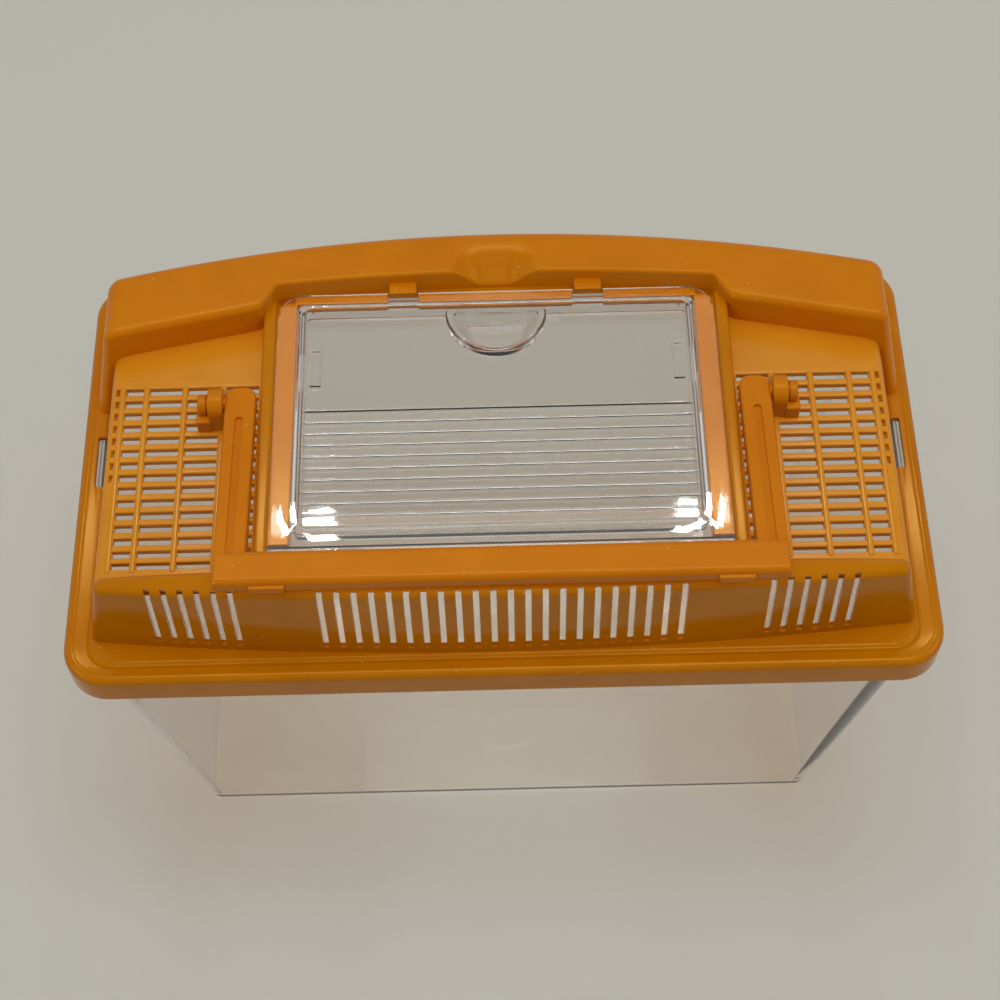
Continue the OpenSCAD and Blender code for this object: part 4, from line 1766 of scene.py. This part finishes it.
@dataclass
class CarryHandle(SubAssembly):
    """The folding handle: rounded grip with tabs, two arms and headed pegs."""

    near: float = 67.8
    far: float = 76.3
    arm_t: float = 5.0
    end_r: float = 4.2
    pivot: Pair = (4.0, 147.5)
    grip_y: Pair = (-57.4, -47.0)
    grip_z: Pair = (149.3, 154.9)
    grip_r: float = 2.0
    channel: float = 2.3
    channel_deep: float = 0.8
    channel_end: float = -6.2
    arm_over: float = 2.0
    peg: float = 2.25
    peg_len: float = 8.2
    head: float = 2.9
    head_x: float = 81.8
    head_len: float = 2.4
    tab_x: float = 62.0
    tab_w: float = 9.3
    tab_out: float = 1.0

    def build(self) -> None:
        """Models the grip and the right arm, and copies the arm."""
        y0, y1 = self.grip_y
        z0, z1 = self.grip_z
        grip = Moulding("handle_grip").block((-self.far, y0, z0), (self.far, y1, z1))
        grip.round_off(lambda e: along(e).x > 0.9, self.grip_r, 6)
        grip.round_off(lambda e: abs(mid(e).x) > self.far - 0.01 and folded(e), 0.8, 3)
        for x in (-self.tab_x, self.tab_x):
            tab = Moulding("tab").block(
                (x - self.tab_w / 2, y0 - self.tab_out, z0 + 1.5),
                (x + self.tab_w / 2, y0 + 3, z1 - 1.5),
            )
            tab.round_off(lambda e: mid(e).y < y0 - 0.9, 0.5, 3)
            grip.join(tab)
        grip.done(Body.HANDLE, self.palette.handle)
        self._arm().pair("handle_arm_left", Body.HANDLE, self.palette.handle)

    def _arm(self) -> Moulding:
        """The right arm with its channel and peg.

        Returns:
            The piece.
        """
        py, pz = self.pivot
        reach = py - self.grip_y[1] + self.arm_over
        rise = (self.grip_z[0] + self.grip_z[1]) / 2 - pz
        slope = rise / (py - self.grip_y[1])
        t = self.arm_t / 2
        arm = Moulding("handle_arm_right")
        arm.block((self.near, -reach, -t), (self.far, self.end_r, t))
        arm.round_off(lambda e: along(e).z > 0.9 and mid(e).y > 0, 3.0, 7)
        arm.round_off(
            lambda e: abs(mid(e).z) > t - 0.01 and folded(e) and mid(e).y > -reach + 0.1, 0.7, 3
        )
        middle = (self.near + self.far) / 2
        groove = Moulding("groove").block(
            (middle - self.channel / 2, -reach - 2, t - self.channel_deep),
            (middle + self.channel / 2, self.channel_end, t + 2),
        )
        groove.round_off(lambda e: along(e).z > 0.9 and mid(e).y > -7, 1.0, 5)
        groove.round_off(lambda e: along(e).y > 0.9 and mid(e).z < t, 0.3, 3)
        arm.combine(groove, "DIFFERENCE")
        arm.bend(lambda p: Vector((p.x, py + p.y, pz + p.z - slope * min(0.0, p.y))))
        peg = Moulding("peg").rod((self.far - 1, py, pz), self.peg, self.peg_len, 48)
        peg.round_off(lambda e: mid(e).x > self.far + 6 and folded(e), 0.4, 2)
        head = Moulding("head").rod((self.head_x, py, pz), self.head, self.head_len, 48)
        middle = self.head_x + self.head_len / 2
        head.round_off(lambda e: folded(e, 60) and mid(e).x > middle, 0.9, 5)
        head.round_off(lambda e: folded(e, 60) and mid(e).x < middle, 0.2, 2)
        return arm.join(peg, head)


@dataclass
class Studio:
    """The floor, camera, lamps and world of the photograph."""

    place: Place = (0.001642, -0.307533, 0.615921)
    pitch: float = 59.295
    yaw: float = -0.337
    roll: float = -1.691
    lens: float = 72.0
    target: Place = (0.0, 0.0, 0.1)
    floor: Colour = field(default_factory=lambda: srgb(192, 190, 181))

    def build(self) -> None:
        """Sets up the floor, the camera and the light."""
        self._floor()
        self._camera()
        self._lamp("overhead", (0.05, 0.1, 1.5), (0.9, 0.5), 7.1)
        self._lamp("front_top", (0.0, -0.75, 1.35), (0.5, 0.04), 0.7)
        self._lamp("fill_left", (-1.1, -0.4, 0.9), (0.6, 0.6), 2.0)
        self._lamp("fill_right", (1.1, -0.2, 0.9), (0.6, 0.6), 2.0)
        for i, x in enumerate((-0.31, -0.22, 0.22, 0.31)):
            self._lamp(f"spot_{i}", (x, 0.9, 1.75), (0.035, 0.035), 0.45)
        self._world()
        bpy.context.scene.view_settings.view_transform = "Standard"

    def _world(self) -> None:
        """A dim room that looks brighter to the camera and in reflections."""
        world = bpy.data.worlds.new("studio")
        bpy.context.scene.world = world
        world.use_nodes = True
        nodes = Nodes(world.node_tree)
        light = nodes.add("ShaderNodeBackground", Color=(0.8, 0.79, 0.76, 1.0), Strength=0.55)
        seen = nodes.add("ShaderNodeBackground", Color=(0.93, 0.93, 0.92, 1.0), Strength=0.7)
        ray = nodes.add("ShaderNodeLightPath").outputs
        mirrored = nodes.larger(ray["Is Camera Ray"], ray["Is Glossy Ray"])
        shown = nodes.larger(mirrored, ray["Is Transmission Ray"])
        nodes.show("ShaderNodeOutputWorld", shown, light, seen)

    def _floor(self) -> None:
        """A plain pale floor."""
        Moulding.clear()
        bpy.ops.mesh.primitive_plane_add(size=8.0, location=(0, 0, -0.0002))
        bpy.ops.object.transform_apply()
        plane = bpy.context.object
        plane.name = "studio_floor"
        mat, nodes = new_material("studio_floor")
        surface = nodes.add("ShaderNodeBsdfPrincipled", Base_Color=self.floor, Roughness=0.9)
        nodes.add("ShaderNodeOutputMaterial", Surface=surface.outputs["BSDF"])
        plane.data.materials.append(mat)

    def _camera(self) -> None:
        """The camera at the photograph's angle."""
        p, y, r = (math.radians(a) for a in (self.pitch, self.yaw, self.roll))
        ahead = Vector((math.sin(y) * math.cos(p), math.cos(y) * math.cos(p), -math.sin(p)))
        right = Vector((math.cos(y), -math.sin(y), 0))
        up = right.cross(ahead)
        side = right * math.cos(r) + up * math.sin(r)
        top = up * math.cos(r) - right * math.sin(r)
        data = bpy.data.cameras.new("photo_camera")
        data.lens = self.lens
        data.sensor_width = 36.0
        camera = bpy.data.objects.new("photo_camera", data)
        bpy.context.collection.objects.link(camera)
        turn = Matrix((side, top, -ahead)).transposed().to_4x4()
        camera.matrix_world = Matrix.Translation(self.place) @ turn
        bpy.context.scene.camera = camera

    def _lamp(self, name: str, place: Place, size: Pair, power: float) -> None:
        """A soft area lamp that looks at the keeper.

        Args:
            name: Its name.
            place: Where it is, in metres.
            size: Its width and height in metres.
            power: Its power in watts.
        """
        data = bpy.data.lights.new(name, "AREA")
        data.shape = "RECTANGLE"
        data.size, data.size_y = size
        data.energy = power
        lamp = bpy.data.objects.new(name, data)
        bpy.context.collection.objects.link(lamp)
        lamp.location = place
        look = Vector(self.target) - Vector(place)
        lamp.rotation_euler = look.to_track_quat("-Z", "Y").to_euler()


def main() -> None:
    logging.basicConfig(level=logging.INFO, format="%(name)s %(message)s")
    palette, plan = Palette(), LidPlan()
    kinds = (Tank, LidFlange, Ridge, FrontWall, Grille, HatchSeat, HandleEar, Hatch, CarryHandle)
    for kind in kinds:
        kind(palette, plan).build()
    Studio().build()
    Moulding.clear()


if __name__ == "__main__":
    main()
